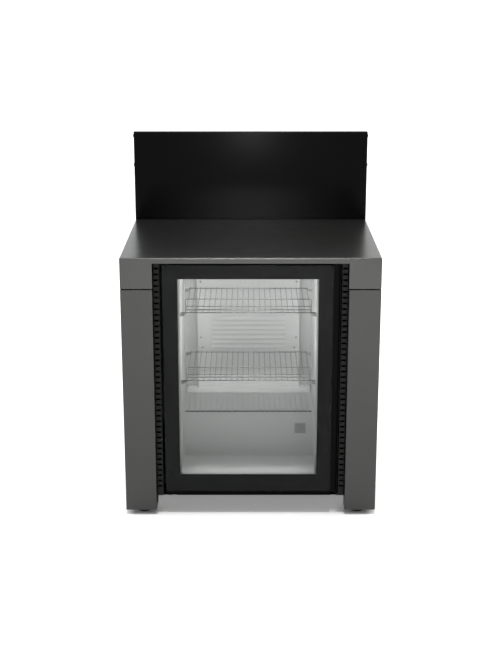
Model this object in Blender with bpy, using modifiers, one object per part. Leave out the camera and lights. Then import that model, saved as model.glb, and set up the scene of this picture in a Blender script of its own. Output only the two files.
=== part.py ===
"""Outdoor kitchen cabinet with a built-in glass-door fridge.

Metres, +Z up, front towards -Y, origin on the floor under the middle of the object.
Depths are measured back from the front face of the cabinet.
"""

import math

import bmesh
import bpy
from mathutils import Matrix, Vector

# Fits
CLEARANCE = 0.0003
CUT_MARGIN = 0.010

# Cabinet
CABINET_WIDTH = 0.870
WORKTOP_DEPTH = 0.640
WORKTOP_HEIGHT = 0.920
SHEET = 0.002
SHEET_BEND = 0.002
WORKTOP_EDGE_RADIUS = 0.0045
SKIRT_HEIGHT = 0.1055
LIP_HEIGHT = 0.019
SEAM_GAP = 0.004
COLUMN_WIDTH = 0.108
COLUMN_RETURN = 0.060
LEG_CLEARANCE = 0.017

# Leg frames and rails
FRAME_TUBE = 0.030
FRAME_INSET = 0.061
FRAME_LIFT = 0.002
RAIL_WALL = 0.002
FRONT_RAIL_DEPTH = 0.200
REAR_RAIL_DEPTH = 0.500

# Levelling feet
FOOT_RADIUS = 0.0225
FOOT_PAD_HEIGHT = 0.009
FOOT_PAD_SLOPE = 0.003
FOOT_PAD_SHOULDER = 0.004
FOOT_PAD_EDGE = 0.001
FOOT_COLLAR_RADIUS = 0.0105
FOOT_COLLAR_LIFT = 0.002
FOOT_STEM_RADIUS = 0.005
FOOT_STEM_TOP = 0.044
FOOT_INSET = 0.050

# Back panel
BACK_PANEL_FLANGE = 0.022
BACK_SLOT_LENGTH = 0.220
BACK_SLOT_HEIGHT = 0.006
BACK_SLOT_PITCH = 0.022
BACK_SLOT_COUNT = 6
BACK_SLOT_SPREAD = 0.150
BACK_SLOT_LOW = 0.150
BACK_SLOT_DROP = 0.1905

# Splash panel
SPLASH_DEPTH = 0.020
SPLASH_RISE = 0.3295
SPLASH_DROP = 0.070
SPLASH_EDGE_RADIUS = 0.0025
STUD_HEAD_RADIUS = 0.006
STUD_HEAD_HEIGHT = 0.0027
STUD_SHANK_RADIUS = 0.003
STUD_SHANK_LENGTH = 0.012
STUD_DROPS = (0.0155, 0.1235)

# Vent strips
STRIP_SETBACK = 0.018
STRIP_WIDTH = 0.0227
STRIP_FLANGE = 0.034
STRIP_RETURN = 0.012
STRIP_BEND = 0.001
STRIP_BOTTOM = 0.0645
STRIP_TONGUE_BOTTOM = 0.031
SLOT_LENGTH = 0.0155
SLOT_HEIGHT = 0.007
SLOT_PITCH = 0.020
SLOT_DROP = 0.040

# Fridge body
FRIDGE_LEFT_GAP = 0.004
FRIDGE_RIGHT_GAP = 0.020
FRIDGE_TOP_GAP = 0.0255
HOUSING_FRONT = 0.078
HOUSING_REAR = 0.540
HOUSING_BOTTOM = 0.0683
HOUSING_SHEET = 0.0015
STEP_FRONT = 0.290
STEP_TOP = 0.2525
SIDE_WALL = 0.056
CEILING_WALL = 0.0445
LINER_BOTTOM = 0.120
LINER_REAR = 0.490
LINER_WALL = 0.002
LINER_CORNER = 0.008
HUMP_FRONT = 0.244
HUMP_TOP = 0.297

# Rear air cover and what it hides
COVER_SIDE_GAP = 0.0455
COVER_BOTTOM = 0.312
COVER_TOP_GAP = 0.012
COVER_DEPTH = 0.040
COVER_WALL = 0.0015
COVER_CORNER = 0.004
LOUVRE_INSET = 0.0555
LOUVRE_PITCH = 0.018
LOUVRE_COUNT = 7
LOUVRE_GAP = 0.010
LOUVRE_BLADE = 0.0014
LOUVRE_TOP = 0.590
FAN_RADIUS = 0.044
FAN_HUB_RADIUS = 0.017
FAN_HUB_LENGTH = 0.014
FAN_HUB_EDGE = 0.003
FAN_BLADES = 7
FAN_BLADE_CHORD = 0.46
FAN_BLADE_FLARE = 0.10
FAN_BLADE_SWEEP = 0.12
FAN_BLADE_TWIST = 0.70
FAN_TIP_EASE = 0.25
FAN_BLADE_THICKNESS = 0.0012
FAN_SHAFT_RADIUS = 0.002
FAN_MOTOR_RADIUS = 0.018
FAN_MOTOR_LENGTH = 0.014
FAN_MOTOR_EDGE = 0.002
FAN_PLATE_RADIUS = 0.032
FAN_PLATE_THICKNESS = 0.004
FAN_HEIGHT = 0.536
EVAPORATOR_INSET = 0.0285
EVAPORATOR_BOTTOM = 0.620
EVAPORATOR_TOP_GAP = 0.023
EVAPORATOR_DEPTH = 0.032
EVAPORATOR_BASE = 0.004
FIN_THICKNESS = 0.0016
FIN_COUNT = 22

# Light
LIGHT_INSET = 0.086
LIGHT_WIDTH = 0.022
LIGHT_HEIGHT = 0.010
LIGHT_DEPTH = 0.150

# Shelf standards and clips
STANDARD_WIDTH = 0.014
STANDARD_THICKNESS = 0.003
STANDARD_TOP_GAP = 0.020
STANDARD_FOOT_GAP = 0.010
STANDARD_PITCH = 0.035
STANDARD_SLOT_WIDTH = 0.006
STANDARD_SLOT_HEIGHT = 0.012
CLIP_LENGTH = 0.018
CLIP_HEIGHT = 0.010
CLIP_WIDTH = 0.010
CLIP_HOOK_LIFT = 0.002
CLIP_HOOK_DROP = 0.001
CLIP_HOOK_ROOT = 0.001

# Wire shelves
SHELF_FRONT = 0.100
SHELF_RIM = 0.136
SHELF_REAR = 0.428
UPPER_SHELF_DROP = 0.145
MIDDLE_SHELF_SLOTS = 7
CROSS_WIRE_RADIUS = 0.0020
DEPTH_WIRE_RADIUS = 0.0015
WIRE_WELD = 0.0006
WIRE_COUNT = 23
WIRE_INSET = 0.0046
FENCE_SIDE_GAP = 0.021
FENCE_HEIGHT = 0.048
FENCE_MIDDLE = 0.022
FENCE_CORNER = 0.008
FRONT_WIRE_SIDE_GAP = 0.0045
MAT_SIDE_GAP = 0.018
MAT_OVERHANG = 0.006

# Control on the hump
CONTROL_INSET = 0.0485
CONTROL_DROP = 0.0675
CONTROL_WIDTH = 0.041
CONTROL_TALL = 0.039
CONTROL_THICKNESS = 0.0045
CONTROL_CORNER = 0.003
ROCKER_WIDTH = 0.033
ROCKER_TALL = 0.031
ROCKER_PROUD = 0.0025
ROCKER_DISH = 0.0015
ROCKER_AXIS_SHARE = 0.55

# Machine compartment
BASE_PLATE_SHEET = 0.002
BASE_PLATE_FLANGE = 0.020
COMPRESSOR_RADIUS = 0.062
COMPRESSOR_HEIGHT = 0.138
COMPRESSOR_DOME = ((0.45, 0.003), (0.75, 0.013), (0.92, 0.030))
COMPRESSOR_FOOT = ((0.92, 0.026), (0.70, 0.010))
COMPRESSOR_INSET = 0.180
COMPRESSOR_DEPTH = 0.420
TRAY_WIDTH = 0.150
TRAY_LENGTH = 0.150
TRAY_HEIGHT = 0.035
TRAY_WALL = 0.002
TRAY_CORNER = 0.004
INLET_WIDTH = 0.048
INLET_HEIGHT = 0.034
INLET_LENGTH = 0.036
INLET_RECESS = 0.018
INLET_RIM = 0.006
INLET_INSET = 0.069
CONDENSER_RADIUS = 0.003
CONDENSER_PASSES = 7
CONDENSER_PITCH = 0.074
CONDENSER_INSET = 0.057
CONDENSER_BOTTOM = 0.330

# Door
DOOR_LEFT_GAP = 0.0085
DOOR_RIGHT_GAP = 0.0035
DOOR_DROP = 0.0043
DOOR_TOP_GAP = 0.001
DOOR_FRONT = 0.015
DOOR_REAR = 0.070
GLASS_LIFT = 0.016
GLASS_TOP_GAP = 0.003
GLASS_THICKNESS = 0.004
GLASS_CORNER = 0.005
BORDER_THICKNESS = 0.0005
BORDER_LEFT = 0.0505
BORDER_RIGHT = 0.0484
BORDER_BOTTOM = 0.063
BORDER_TOP = 0.0475
REVEAL_SIDE = 0.004
REVEAL_BOTTOM = 0.026
REVEAL_TOP = 0.007
POCKET_MARGIN = 0.010
SPACER_DEPTH = 0.012
SPACER_WIDTH = 0.008
GRIP_WIDTH = 0.0238
GRIP_DEPTH = 0.035
GRIP_WALL = 0.0016
GASKET_WIDTH = 0.014
GASKET_OUTSET = 0.0145
PIVOT_INSET = 0.014
PIVOT_SETBACK = 0.013
PIN_RADIUS = 0.004
PIN_LENGTH = 0.016
BUSH_WALL = 0.002
BRACKET_THICKNESS = 0.003
BRACKET_WIDTH = 0.030
BRACKET_REACH = 0.060
BRACKET_NOTCH = 0.0012

# Colours
GRAPHITE = (0.105, 0.108, 0.102)
GLOSS_BLACK = (0.006, 0.006, 0.007)
SOFT_BLACK = (0.012, 0.012, 0.013)
STRIP_BLACK = (0.018, 0.019, 0.019)
LINER_WHITE = (0.70, 0.70, 0.69)
CLIP_GREY = (0.22, 0.22, 0.22)
STEEL = (0.56, 0.56, 0.56)
GALVANISED = (0.46, 0.47, 0.48)
ALUMINIUM = (0.66, 0.66, 0.66)
COPPER = (0.62, 0.30, 0.19)
FOAM_YELLOW = (0.70, 0.58, 0.34)
CLEAR_GLASS = (0.80, 0.84, 0.83)
DIFFUSER_WHITE = (0.90, 0.90, 0.88)
CONTROL_GREY = (0.42, 0.42, 0.41)
ROCKER_GREY = (0.36, 0.36, 0.35)
BUSH_WHITE = (0.75, 0.75, 0.72)

# Places that follow from the sizes above
FRONT = -(WORKTOP_DEPTH + CLEARANCE + SPLASH_DEPTH) / 2
BACK = FRONT + WORKTOP_DEPTH
HALF_WIDTH = CABINET_WIDTH / 2
HALF_OPENING = HALF_WIDTH - COLUMN_WIDTH
UNDERSIDE = WORKTOP_HEIGHT - SHEET
SKIRT_BOTTOM = WORKTOP_HEIGHT - SKIRT_HEIGHT
COLUMN_TOP = SKIRT_BOTTOM - SEAM_GAP
FRAME_X = HALF_WIDTH - FRAME_INSET
FRAME_INNER_X = FRAME_X - FRAME_TUBE / 2
FRAME_BOTTOM = LEG_CLEARANCE + FRAME_LIFT
BACK_SLOT_HIGH = COLUMN_TOP - BACK_SLOT_DROP
STRIP_EDGE = HALF_OPENING - CLEARANCE - STRIP_WIDTH
SLOT_TOP = WORKTOP_HEIGHT - SLOT_DROP
SLOT_COUNT = math.floor((SLOT_TOP - STRIP_BOTTOM) / SLOT_PITCH)
RAIL_TOP = HOUSING_BOTTOM - CLEARANCE
HOUSING_LEFT = FRIDGE_LEFT_GAP - STRIP_EDGE
HOUSING_RIGHT = STRIP_EDGE - FRIDGE_RIGHT_GAP
HOUSING_TOP = WORKTOP_HEIGHT - FRIDGE_TOP_GAP
HOUSING_WIDTH = HOUSING_RIGHT - HOUSING_LEFT
FRIDGE_CENTRE = (HOUSING_LEFT + HOUSING_RIGHT) / 2
LINER_LEFT = HOUSING_LEFT + SIDE_WALL
LINER_RIGHT = HOUSING_RIGHT - SIDE_WALL
LINER_TOP = HOUSING_TOP - CEILING_WALL
LINER_WIDTH = LINER_RIGHT - LINER_LEFT
COVER_FRONT = LINER_REAR - CLEARANCE - COVER_DEPTH
COVER_WIDTH = LINER_WIDTH - 2 * COVER_SIDE_GAP
COVER_TOP = LINER_TOP - COVER_TOP_GAP
LOUVRE_LENGTH = COVER_WIDTH - 2 * LOUVRE_INSET
EVAPORATOR_WIDTH = COVER_WIDTH - 2 * EVAPORATOR_INSET
EVAPORATOR_TOP = COVER_TOP - EVAPORATOR_TOP_GAP
LIGHT_LENGTH = LINER_WIDTH - 2 * LIGHT_INSET
STANDARD_TOP = LINER_TOP - STANDARD_TOP_GAP
UPPER_SHELF_HEIGHT = LINER_TOP - UPPER_SHELF_DROP
MIDDLE_SHELF_HEIGHT = UPPER_SHELF_HEIGHT - MIDDLE_SHELF_SLOTS * STANDARD_PITCH
FRONT_WIRE_LENGTH = LINER_WIDTH - 2 * FRONT_WIRE_SIDE_GAP
MAT_LENGTH = LINER_WIDTH - 2 * MAT_SIDE_GAP
FENCE_WIDTH = LINER_WIDTH - 2 * FENCE_SIDE_GAP
WIRE_PITCH = (MAT_LENGTH - 2 * WIRE_INSET) / (WIRE_COUNT - 1)
CONTROL_CENTRE = LINER_RIGHT - CONTROL_INSET
CONTROL_HEIGHT = HUMP_TOP - CONTROL_DROP
BASE_PLATE_TOP = HOUSING_BOTTOM + BASE_PLATE_SHEET
COMPRESSOR_X = HOUSING_LEFT + COMPRESSOR_INSET
INLET_X = HOUSING_RIGHT - INLET_INSET
TRAY_X = (COMPRESSOR_X + COMPRESSOR_RADIUS + INLET_X - INLET_WIDTH / 2) / 2
CONDENSER_HALF = HOUSING_WIDTH / 2 - CONDENSER_INSET
DOOR_LEFT = DOOR_LEFT_GAP - STRIP_EDGE
DOOR_BOTTOM = HOUSING_BOTTOM - DOOR_DROP
DOOR_TOP = HOUSING_TOP - DOOR_TOP_GAP
GLASS_RIGHT = STRIP_EDGE - DOOR_RIGHT_GAP - GRIP_WIDTH - CLEARANCE
GLASS_BOTTOM = DOOR_BOTTOM + GLASS_LIFT
GLASS_TOP = DOOR_TOP - GLASS_TOP_GAP
WINDOW_LEFT = DOOR_LEFT + BORDER_LEFT
WINDOW_RIGHT = GLASS_RIGHT - BORDER_RIGHT
WINDOW_BOTTOM = GLASS_BOTTOM + BORDER_BOTTOM
WINDOW_TOP = GLASS_TOP - BORDER_TOP
REVEAL_LEFT_X = WINDOW_LEFT - REVEAL_SIDE
REVEAL_RIGHT_X = WINDOW_RIGHT + REVEAL_SIDE
REVEAL_LOW = WINDOW_BOTTOM - REVEAL_BOTTOM
REVEAL_HIGH = WINDOW_TOP + REVEAL_TOP
PIVOT_X = DOOR_LEFT + PIVOT_INSET
PIVOT_DEPTH = DOOR_FRONT + PIVOT_SETBACK
FRAME_FACE = DOOR_FRONT + GLASS_THICKNESS + CLEARANCE + BORDER_THICKNESS + CLEARANCE
POCKET_REAR = FRAME_FACE + SPACER_DEPTH + CLEARANCE + GLASS_THICKNESS + CLEARANCE


def at(depth):
    """World Y of a depth behind the cabinet's front face."""
    return FRONT + depth


# Collections
for old in list(bpy.data.objects):
    bpy.data.objects.remove(old, do_unlink=True)

parts = bpy.data.collections.new("outdoor_fridge_cabinet")
bpy.context.scene.collection.children.link(parts)
cutters = bpy.data.collections.new("cutters")
bpy.context.scene.collection.children.link(cutters)


# Modelling helpers
def add_object(name, data):
    """Links a new object to the parts collection."""
    obj = bpy.data.objects.new(name, data)
    parts.objects.link(obj)
    return obj


def finish(obj, colour, roughness, metallic=0.0, transmission=0.0):
    """Gives a piece its own material."""
    material = bpy.data.materials.new(obj.name)
    material.use_nodes = True
    shader = material.node_tree.nodes["Principled BSDF"]
    shader.inputs["Base Color"].default_value = (*colour, 1.0)
    shader.inputs["Roughness"].default_value = roughness
    shader.inputs["Metallic"].default_value = metallic
    shader.inputs["Transmission Weight"].default_value = transmission
    obj.data.materials.clear()
    obj.data.materials.append(material)
    return obj


def as_helper(obj):
    """Moves an object among the cutters, out of the finished model."""
    parts.objects.unlink(obj)
    cutters.objects.link(obj)
    obj.hide_render = True
    obj.display_type = "WIRE"
    return obj


def boolean(target, helper, operation):
    modifier = target.modifiers.new(operation.lower(), "BOOLEAN")
    modifier.operation = operation
    modifier.solver = "EXACT"
    modifier.object = as_helper(helper)
    return target


def cut(target, helper):
    return boolean(target, helper, "DIFFERENCE")


def join(target, helper):
    return boolean(target, helper, "UNION")


def soften(obj, width, segments=2):
    """Rounds the sharp edges of a piece."""
    modifier = obj.modifiers.new("rounded edges", "BEVEL")
    modifier.width = width
    modifier.segments = segments
    modifier.limit_method = "ANGLE"
    modifier.angle_limit = math.radians(40)
    return obj


def repeat(obj, count, step):
    """Copies a helper along a constant step."""
    modifier = obj.modifiers.new("row", "ARRAY")
    modifier.count = count
    modifier.use_relative_offset = False
    modifier.use_constant_offset = True
    modifier.constant_offset_displace = step
    return obj


def block(name, low, high):
    """A box between two corners, with its origin in the middle."""
    low = Vector(low)
    high = Vector(high)
    bm = bmesh.new()
    bmesh.ops.create_cube(bm, size=1.0)
    bmesh.ops.scale(bm, vec=high - low, verts=bm.verts)
    mesh = bpy.data.meshes.new(name)
    bm.to_mesh(mesh)
    bm.free()
    obj = add_object(name, mesh)
    obj.location = (low + high) / 2
    return obj


def open_box(name, low, high, missing, wall, radius, segments=2):
    """A folded tray: a box without one face, its edges rounded, given a wall inwards."""
    obj = block(name, low, high)
    bm = bmesh.new()
    bm.from_mesh(obj.data)
    gone = [face for face in bm.faces if face.normal.dot(Vector(missing)) > 0.9]
    bmesh.ops.delete(bm, geom=gone, context="FACES")
    bm.to_mesh(obj.data)
    bm.free()
    soften(obj, radius, segments)
    modifier = obj.modifiers.new("wall", "SOLIDIFY")
    modifier.thickness = wall
    modifier.offset = -1.0
    modifier.use_even_offset = True
    return obj


def as_mesh(curve):
    """Turns a curve object into a mesh object of the same name and place."""
    bpy.context.view_layer.update()
    graph = bpy.context.evaluated_depsgraph_get()
    mesh = bpy.data.meshes.new_from_object(curve.evaluated_get(graph))
    bm = bmesh.new()
    bm.from_mesh(mesh)
    bmesh.ops.remove_doubles(bm, verts=bm.verts, dist=0.000001)
    bmesh.ops.recalc_face_normals(bm, faces=bm.faces)
    bm.to_mesh(mesh)
    bm.free()
    name = curve.name
    place = curve.matrix_world.copy()
    bpy.data.objects.remove(curve, do_unlink=True)
    obj = add_object(name, mesh)
    obj.matrix_world = place
    return obj


def along(axis):
    """Rotation that lays a flat outline across an axis: (y, z) across X, (x, z) across Y, (x, y) across Z."""
    if axis == "X":
        return Matrix(((0, 0, 1), (1, 0, 0), (0, 1, 0)))
    if axis == "Y":
        return Matrix(((1, 0, 0), (0, 0, -1), (0, 1, 0)))
    return Matrix.Identity(3)


def prism(name, loops, axis, start, end):
    """Flat outlines, holes included, extruded along an axis."""
    curve = bpy.data.curves.new(name, "CURVE")
    curve.dimensions = "2D"
    curve.fill_mode = "BOTH"
    curve.extrude = (end - start) / 2
    for loop in loops:
        spline = curve.splines.new("POLY")
        spline.points.add(len(loop) - 1)
        for point, place in zip(spline.points, loop):
            point.co = (place[0], place[1], 0.0, 1.0)
        spline.use_cyclic_u = True
    obj = add_object(name, curve)
    place = Vector((axis == "X", axis == "Y", axis == "Z")) * (start + end) / 2
    obj.matrix_world = Matrix.Translation(place) @ along(axis).to_4x4()
    return as_mesh(obj)


def tubes(name, paths, radius, resolution=1):
    """Round wires along straight-sided paths."""
    curve = bpy.data.curves.new(name, "CURVE")
    curve.dimensions = "3D"
    curve.twist_mode = "Z_UP"
    curve.bevel_depth = radius
    curve.bevel_resolution = resolution
    curve.use_fill_caps = True
    for path in paths:
        spline = curve.splines.new("POLY")
        spline.points.add(len(path) - 1)
        for point, place in zip(spline.points, path):
            point.co = (*place, 1.0)
    return as_mesh(add_object(name, curve))


def turned(name, profile, place, axis="Z", steps=12, closed=False):
    """A profile of (radius, height) spun about an axis; it runs down its outer side."""
    count = len(profile)
    edges = [(i, i + 1) for i in range(count - 1)]
    if closed:
        edges.append((count - 1, 0))
    mesh = bpy.data.meshes.new(name)
    mesh.from_pydata([(radius, 0.0, height) for radius, height in profile], edges, [])
    obj = add_object(name, mesh)
    modifier = obj.modifiers.new("spin", "SCREW")
    modifier.steps = steps
    modifier.render_steps = steps
    modifier.use_merge_vertices = True
    modifier.merge_threshold = 0.00001
    modifier.use_smooth_shade = True
    obj.location = place
    if axis == "-Y":
        obj.rotation_euler = (math.radians(90), 0, 0)
    if axis == "X":
        obj.rotation_euler = (0, math.radians(90), 0)
    if axis == "-X":
        obj.rotation_euler = (0, math.radians(-90), 0)
    return obj


def rounded(path, radii, steps=3):
    """An open path with each inner corner replaced by an arc."""
    path = [Vector(place) for place in path]
    result = [path[0]]
    for i in range(1, len(path) - 1):
        back = (path[i - 1] - path[i]).normalized()
        ahead = (path[i + 1] - path[i]).normalized()
        half = back.angle(ahead) / 2
        centre = path[i] + (back + ahead).normalized() * (radii[i - 1] / math.sin(half))
        start = path[i] + back * (radii[i - 1] / math.tan(half)) - centre
        end = path[i] + ahead * (radii[i - 1] / math.tan(half)) - centre
        sweep = math.pi - 2 * half
        for k in range(steps + 1):
            near = math.sin(sweep * (1 - k / steps)) / math.sin(sweep)
            far = math.sin(sweep * k / steps) / math.sin(sweep)
            result.append(centre + start * near + end * far)
    result.append(path[-1])
    return result


def sheet(path, thickness, bend):
    """Outline of a folded sheet: a middle line offset to both sides, with round bends."""
    path = [Vector(place) for place in path]
    runs = [(b - a).normalized() for a, b in zip(path, path[1:])]
    normals = [Vector((-run.y, run.x)) for run in runs]
    turns = [a.x * b.y - a.y * b.x for a, b in zip(runs, runs[1:])]
    sides = []
    for side in (1, -1):
        line = [path[0] + normals[0] * side * thickness / 2]
        for i in range(1, len(path) - 1):
            mitre = (normals[i - 1] + normals[i]) / (1 + normals[i - 1].dot(normals[i]))
            line.append(path[i] + mitre * side * thickness / 2)
        line.append(path[-1] + normals[-1] * side * thickness / 2)
        radii = [bend if turn * side > 0 else bend + thickness for turn in turns]
        sides.append(rounded(line, radii))
    return sides[0] + sides[1][::-1]


def rectangle(left, right, bottom, top):
    return [(left, bottom), (right, bottom), (right, top), (left, top)]


def soft_rectangle(left, right, bottom, top, radius, steps=3):
    """A rectangle with round corners."""
    corners = (
        (right - radius, bottom + radius, -90),
        (right - radius, top - radius, 0),
        (left + radius, top - radius, 90),
        (left + radius, bottom + radius, 180),
    )
    outline = []
    for x, z, first in corners:
        for k in range(steps + 1):
            angle = math.radians(first + 90 * k / steps)
            outline.append((x + radius * math.cos(angle), z + radius * math.sin(angle)))
    return outline


def stepped(front, rear, bottom, top, step_front, step_top):
    """Side outline of the fridge, with the step at its rear foot."""
    return [
        (at(front), bottom),
        (at(step_front), bottom),
        (at(step_front), step_top),
        (at(rear), step_top),
        (at(rear), top),
        (at(front), top),
    ]


def hang(obj, empty):
    """Parents a piece to an empty without moving it."""
    bpy.context.view_layer.update()
    obj.parent = empty
    obj.matrix_parent_inverse = empty.matrix_world.inverted()
    return obj


# Worktop: one folded tray with the fascia opened between its two corner blocks
worktop = open_box(
    "worktop",
    (-HALF_WIDTH, FRONT, SKIRT_BOTTOM),
    (HALF_WIDTH, BACK, WORKTOP_HEIGHT),
    (0, 0, -1),
    SHEET,
    WORKTOP_EDGE_RADIUS,
    3,
)
cut(worktop, block(
    "fascia_opening",
    (-HALF_OPENING, FRONT - CUT_MARGIN, SKIRT_BOTTOM - CUT_MARGIN),
    (HALF_OPENING, FRONT + CUT_MARGIN, WORKTOP_HEIGHT - LIP_HEIGHT),
))
finish(worktop, GRAPHITE, 0.38, 0.25)

# Side columns, leg frames and feet
for side, label in ((-1, "left"), (1, "right")):
    outer = side * (HALF_WIDTH - SHEET / 2)
    inner = side * (HALF_OPENING + SHEET / 2)
    rear_edge = side * FRAME_INNER_X
    column_path = [
        (inner, at(COLUMN_RETURN)),
        (inner, at(SHEET / 2)),
        (outer, at(SHEET / 2)),
        (outer, BACK - SHEET / 2),
        (rear_edge, BACK - SHEET / 2),
    ]
    column = prism(
        f"{label}_side_column",
        [sheet(column_path, SHEET, SHEET_BEND)],
        "Z",
        LEG_CLEARANCE,
        COLUMN_TOP,
    )
    finish(column, GRAPHITE, 0.42, 0.25)

    post_front = at(SHEET + CLEARANCE)
    post_rear = BACK - SHEET - CLEARANCE
    frame_top = UNDERSIDE - CLEARANCE
    frame = prism(
        f"{label}_leg_frame",
        [
            rectangle(post_front, post_rear, FRAME_BOTTOM, frame_top),
            rectangle(
                post_front + FRAME_TUBE,
                post_rear - FRAME_TUBE,
                FRAME_BOTTOM + FRAME_TUBE,
                frame_top - FRAME_TUBE,
            ),
        ],
        "X",
        side * FRAME_X - FRAME_TUBE / 2,
        side * FRAME_X + FRAME_TUBE / 2,
    )
    soften(frame, WORKTOP_EDGE_RADIUS - SHEET, 1)
    for depth, end in ((FOOT_INSET, "front"), (WORKTOP_DEPTH - FOOT_INSET, "rear")):
        bore = [
            (0, FOOT_STEM_TOP + CLEARANCE),
            (FOOT_STEM_RADIUS + CLEARANCE, FOOT_STEM_TOP + CLEARANCE),
            (FOOT_STEM_RADIUS + CLEARANCE, 0),
            (0, 0),
        ]
        cut(frame, turned(f"{label}_{end}_bore", bore, (side * FRAME_X, at(depth), 0)))
        foot_profile = [
            (0, FOOT_STEM_TOP),
            (FOOT_STEM_RADIUS, FOOT_STEM_TOP),
            (FOOT_STEM_RADIUS, FRAME_BOTTOM - CLEARANCE),
            (FOOT_COLLAR_RADIUS, FRAME_BOTTOM - CLEARANCE),
            (FOOT_COLLAR_RADIUS, FOOT_PAD_HEIGHT + FOOT_COLLAR_LIFT),
            (FOOT_RADIUS - FOOT_PAD_SLOPE, FOOT_PAD_HEIGHT),
            (FOOT_RADIUS, FOOT_PAD_HEIGHT - FOOT_PAD_SHOULDER),
            (FOOT_RADIUS, FOOT_PAD_EDGE),
            (FOOT_RADIUS - FOOT_PAD_EDGE, 0),
            (0, 0),
        ]
        foot = turned(f"{label}_{end}_foot", foot_profile, (side * FRAME_X, at(depth), 0))
        finish(foot, SOFT_BLACK, 0.55)
    finish(frame, SOFT_BLACK, 0.5, 0.3)

# Base rails that carry the fridge
for label, depth in (("front", FRONT_RAIL_DEPTH), ("rear", REAR_RAIL_DEPTH)):
    low = at(depth - FRAME_TUBE / 2)
    high = at(depth + FRAME_TUBE / 2)
    rail = prism(
        f"{label}_base_rail",
        [
            rectangle(low, high, RAIL_TOP - FRAME_TUBE, RAIL_TOP),
            rectangle(
                low + RAIL_WALL,
                high - RAIL_WALL,
                RAIL_TOP - FRAME_TUBE + RAIL_WALL,
                RAIL_TOP - RAIL_WALL,
            ),
        ],
        "X",
        -FRAME_INNER_X + CLEARANCE,
        FRAME_INNER_X - CLEARANCE,
    )
    finish(rail, SOFT_BLACK, 0.5, 0.3)

# Back panel with its two fields of air slots
panel_edge = FRAME_INNER_X - CLEARANCE - SHEET / 2
panel_path = [
    (-panel_edge, BACK - BACK_PANEL_FLANGE),
    (-panel_edge, BACK - SHEET / 2),
    (panel_edge, BACK - SHEET / 2),
    (panel_edge, BACK - BACK_PANEL_FLANGE),
]
back_panel = prism(
    "back_panel",
    [sheet(panel_path, SHEET, SHEET_BEND)],
    "Z",
    LEG_CLEARANCE,
    COLUMN_TOP,
)
for column_x in (-BACK_SLOT_SPREAD, BACK_SLOT_SPREAD):
    for lowest in (BACK_SLOT_LOW, BACK_SLOT_HIGH):
        slot = block(
            "back_slot",
            (column_x - BACK_SLOT_LENGTH / 2, BACK - CUT_MARGIN, lowest),
            (column_x + BACK_SLOT_LENGTH / 2, BACK + CUT_MARGIN, lowest + BACK_SLOT_HEIGHT),
        )
        cut(back_panel, repeat(slot, BACK_SLOT_COUNT, (0, 0, BACK_SLOT_PITCH)))
finish(back_panel, GRAPHITE, 0.45, 0.25)

# Splash panel behind the worktop, with two joining studs on each side edge
splash_front = BACK + CLEARANCE
splash_rear = splash_front + SPLASH_DEPTH
splash_top = WORKTOP_HEIGHT + SPLASH_RISE
splash = open_box(
    "splash_panel",
    (-HALF_WIDTH, splash_front, WORKTOP_HEIGHT - SPLASH_DROP),
    (HALF_WIDTH, splash_rear, splash_top),
    (0, 1, 0),
    SHEET,
    SPLASH_EDGE_RADIUS,
)
stud_y = (splash_front + splash_rear) / 2
for side, label, axis in ((-1, "left", "-X"), (1, "right", "X")):
    for drop, level in zip(STUD_DROPS, ("upper", "lower")):
        place = (side * HALF_WIDTH, stud_y, splash_top - drop)
        hole = [
            (0, CUT_MARGIN),
            (STUD_SHANK_RADIUS + CLEARANCE, CUT_MARGIN),
            (STUD_SHANK_RADIUS + CLEARANCE, -STUD_SHANK_LENGTH),
            (0, -STUD_SHANK_LENGTH),
        ]
        cut(splash, turned(f"{label}_{level}_stud_hole", hole, place, axis, 8))
        stud_profile = [
            (0, STUD_HEAD_HEIGHT),
            (STUD_HEAD_RADIUS * 0.6, STUD_HEAD_HEIGHT),
            (STUD_HEAD_RADIUS, STUD_HEAD_HEIGHT * 0.5),
            (STUD_HEAD_RADIUS, CLEARANCE),
            (STUD_SHANK_RADIUS, CLEARANCE),
            (STUD_SHANK_RADIUS, -STUD_SHANK_LENGTH),
            (0, -STUD_SHANK_LENGTH),
        ]
        stud = turned(f"{label}_{level}_splash_stud", stud_profile, place, axis, 8)
        finish(stud, SOFT_BLACK, 0.35, 0.6)
finish(splash, GLOSS_BLACK, 0.22)

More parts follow.
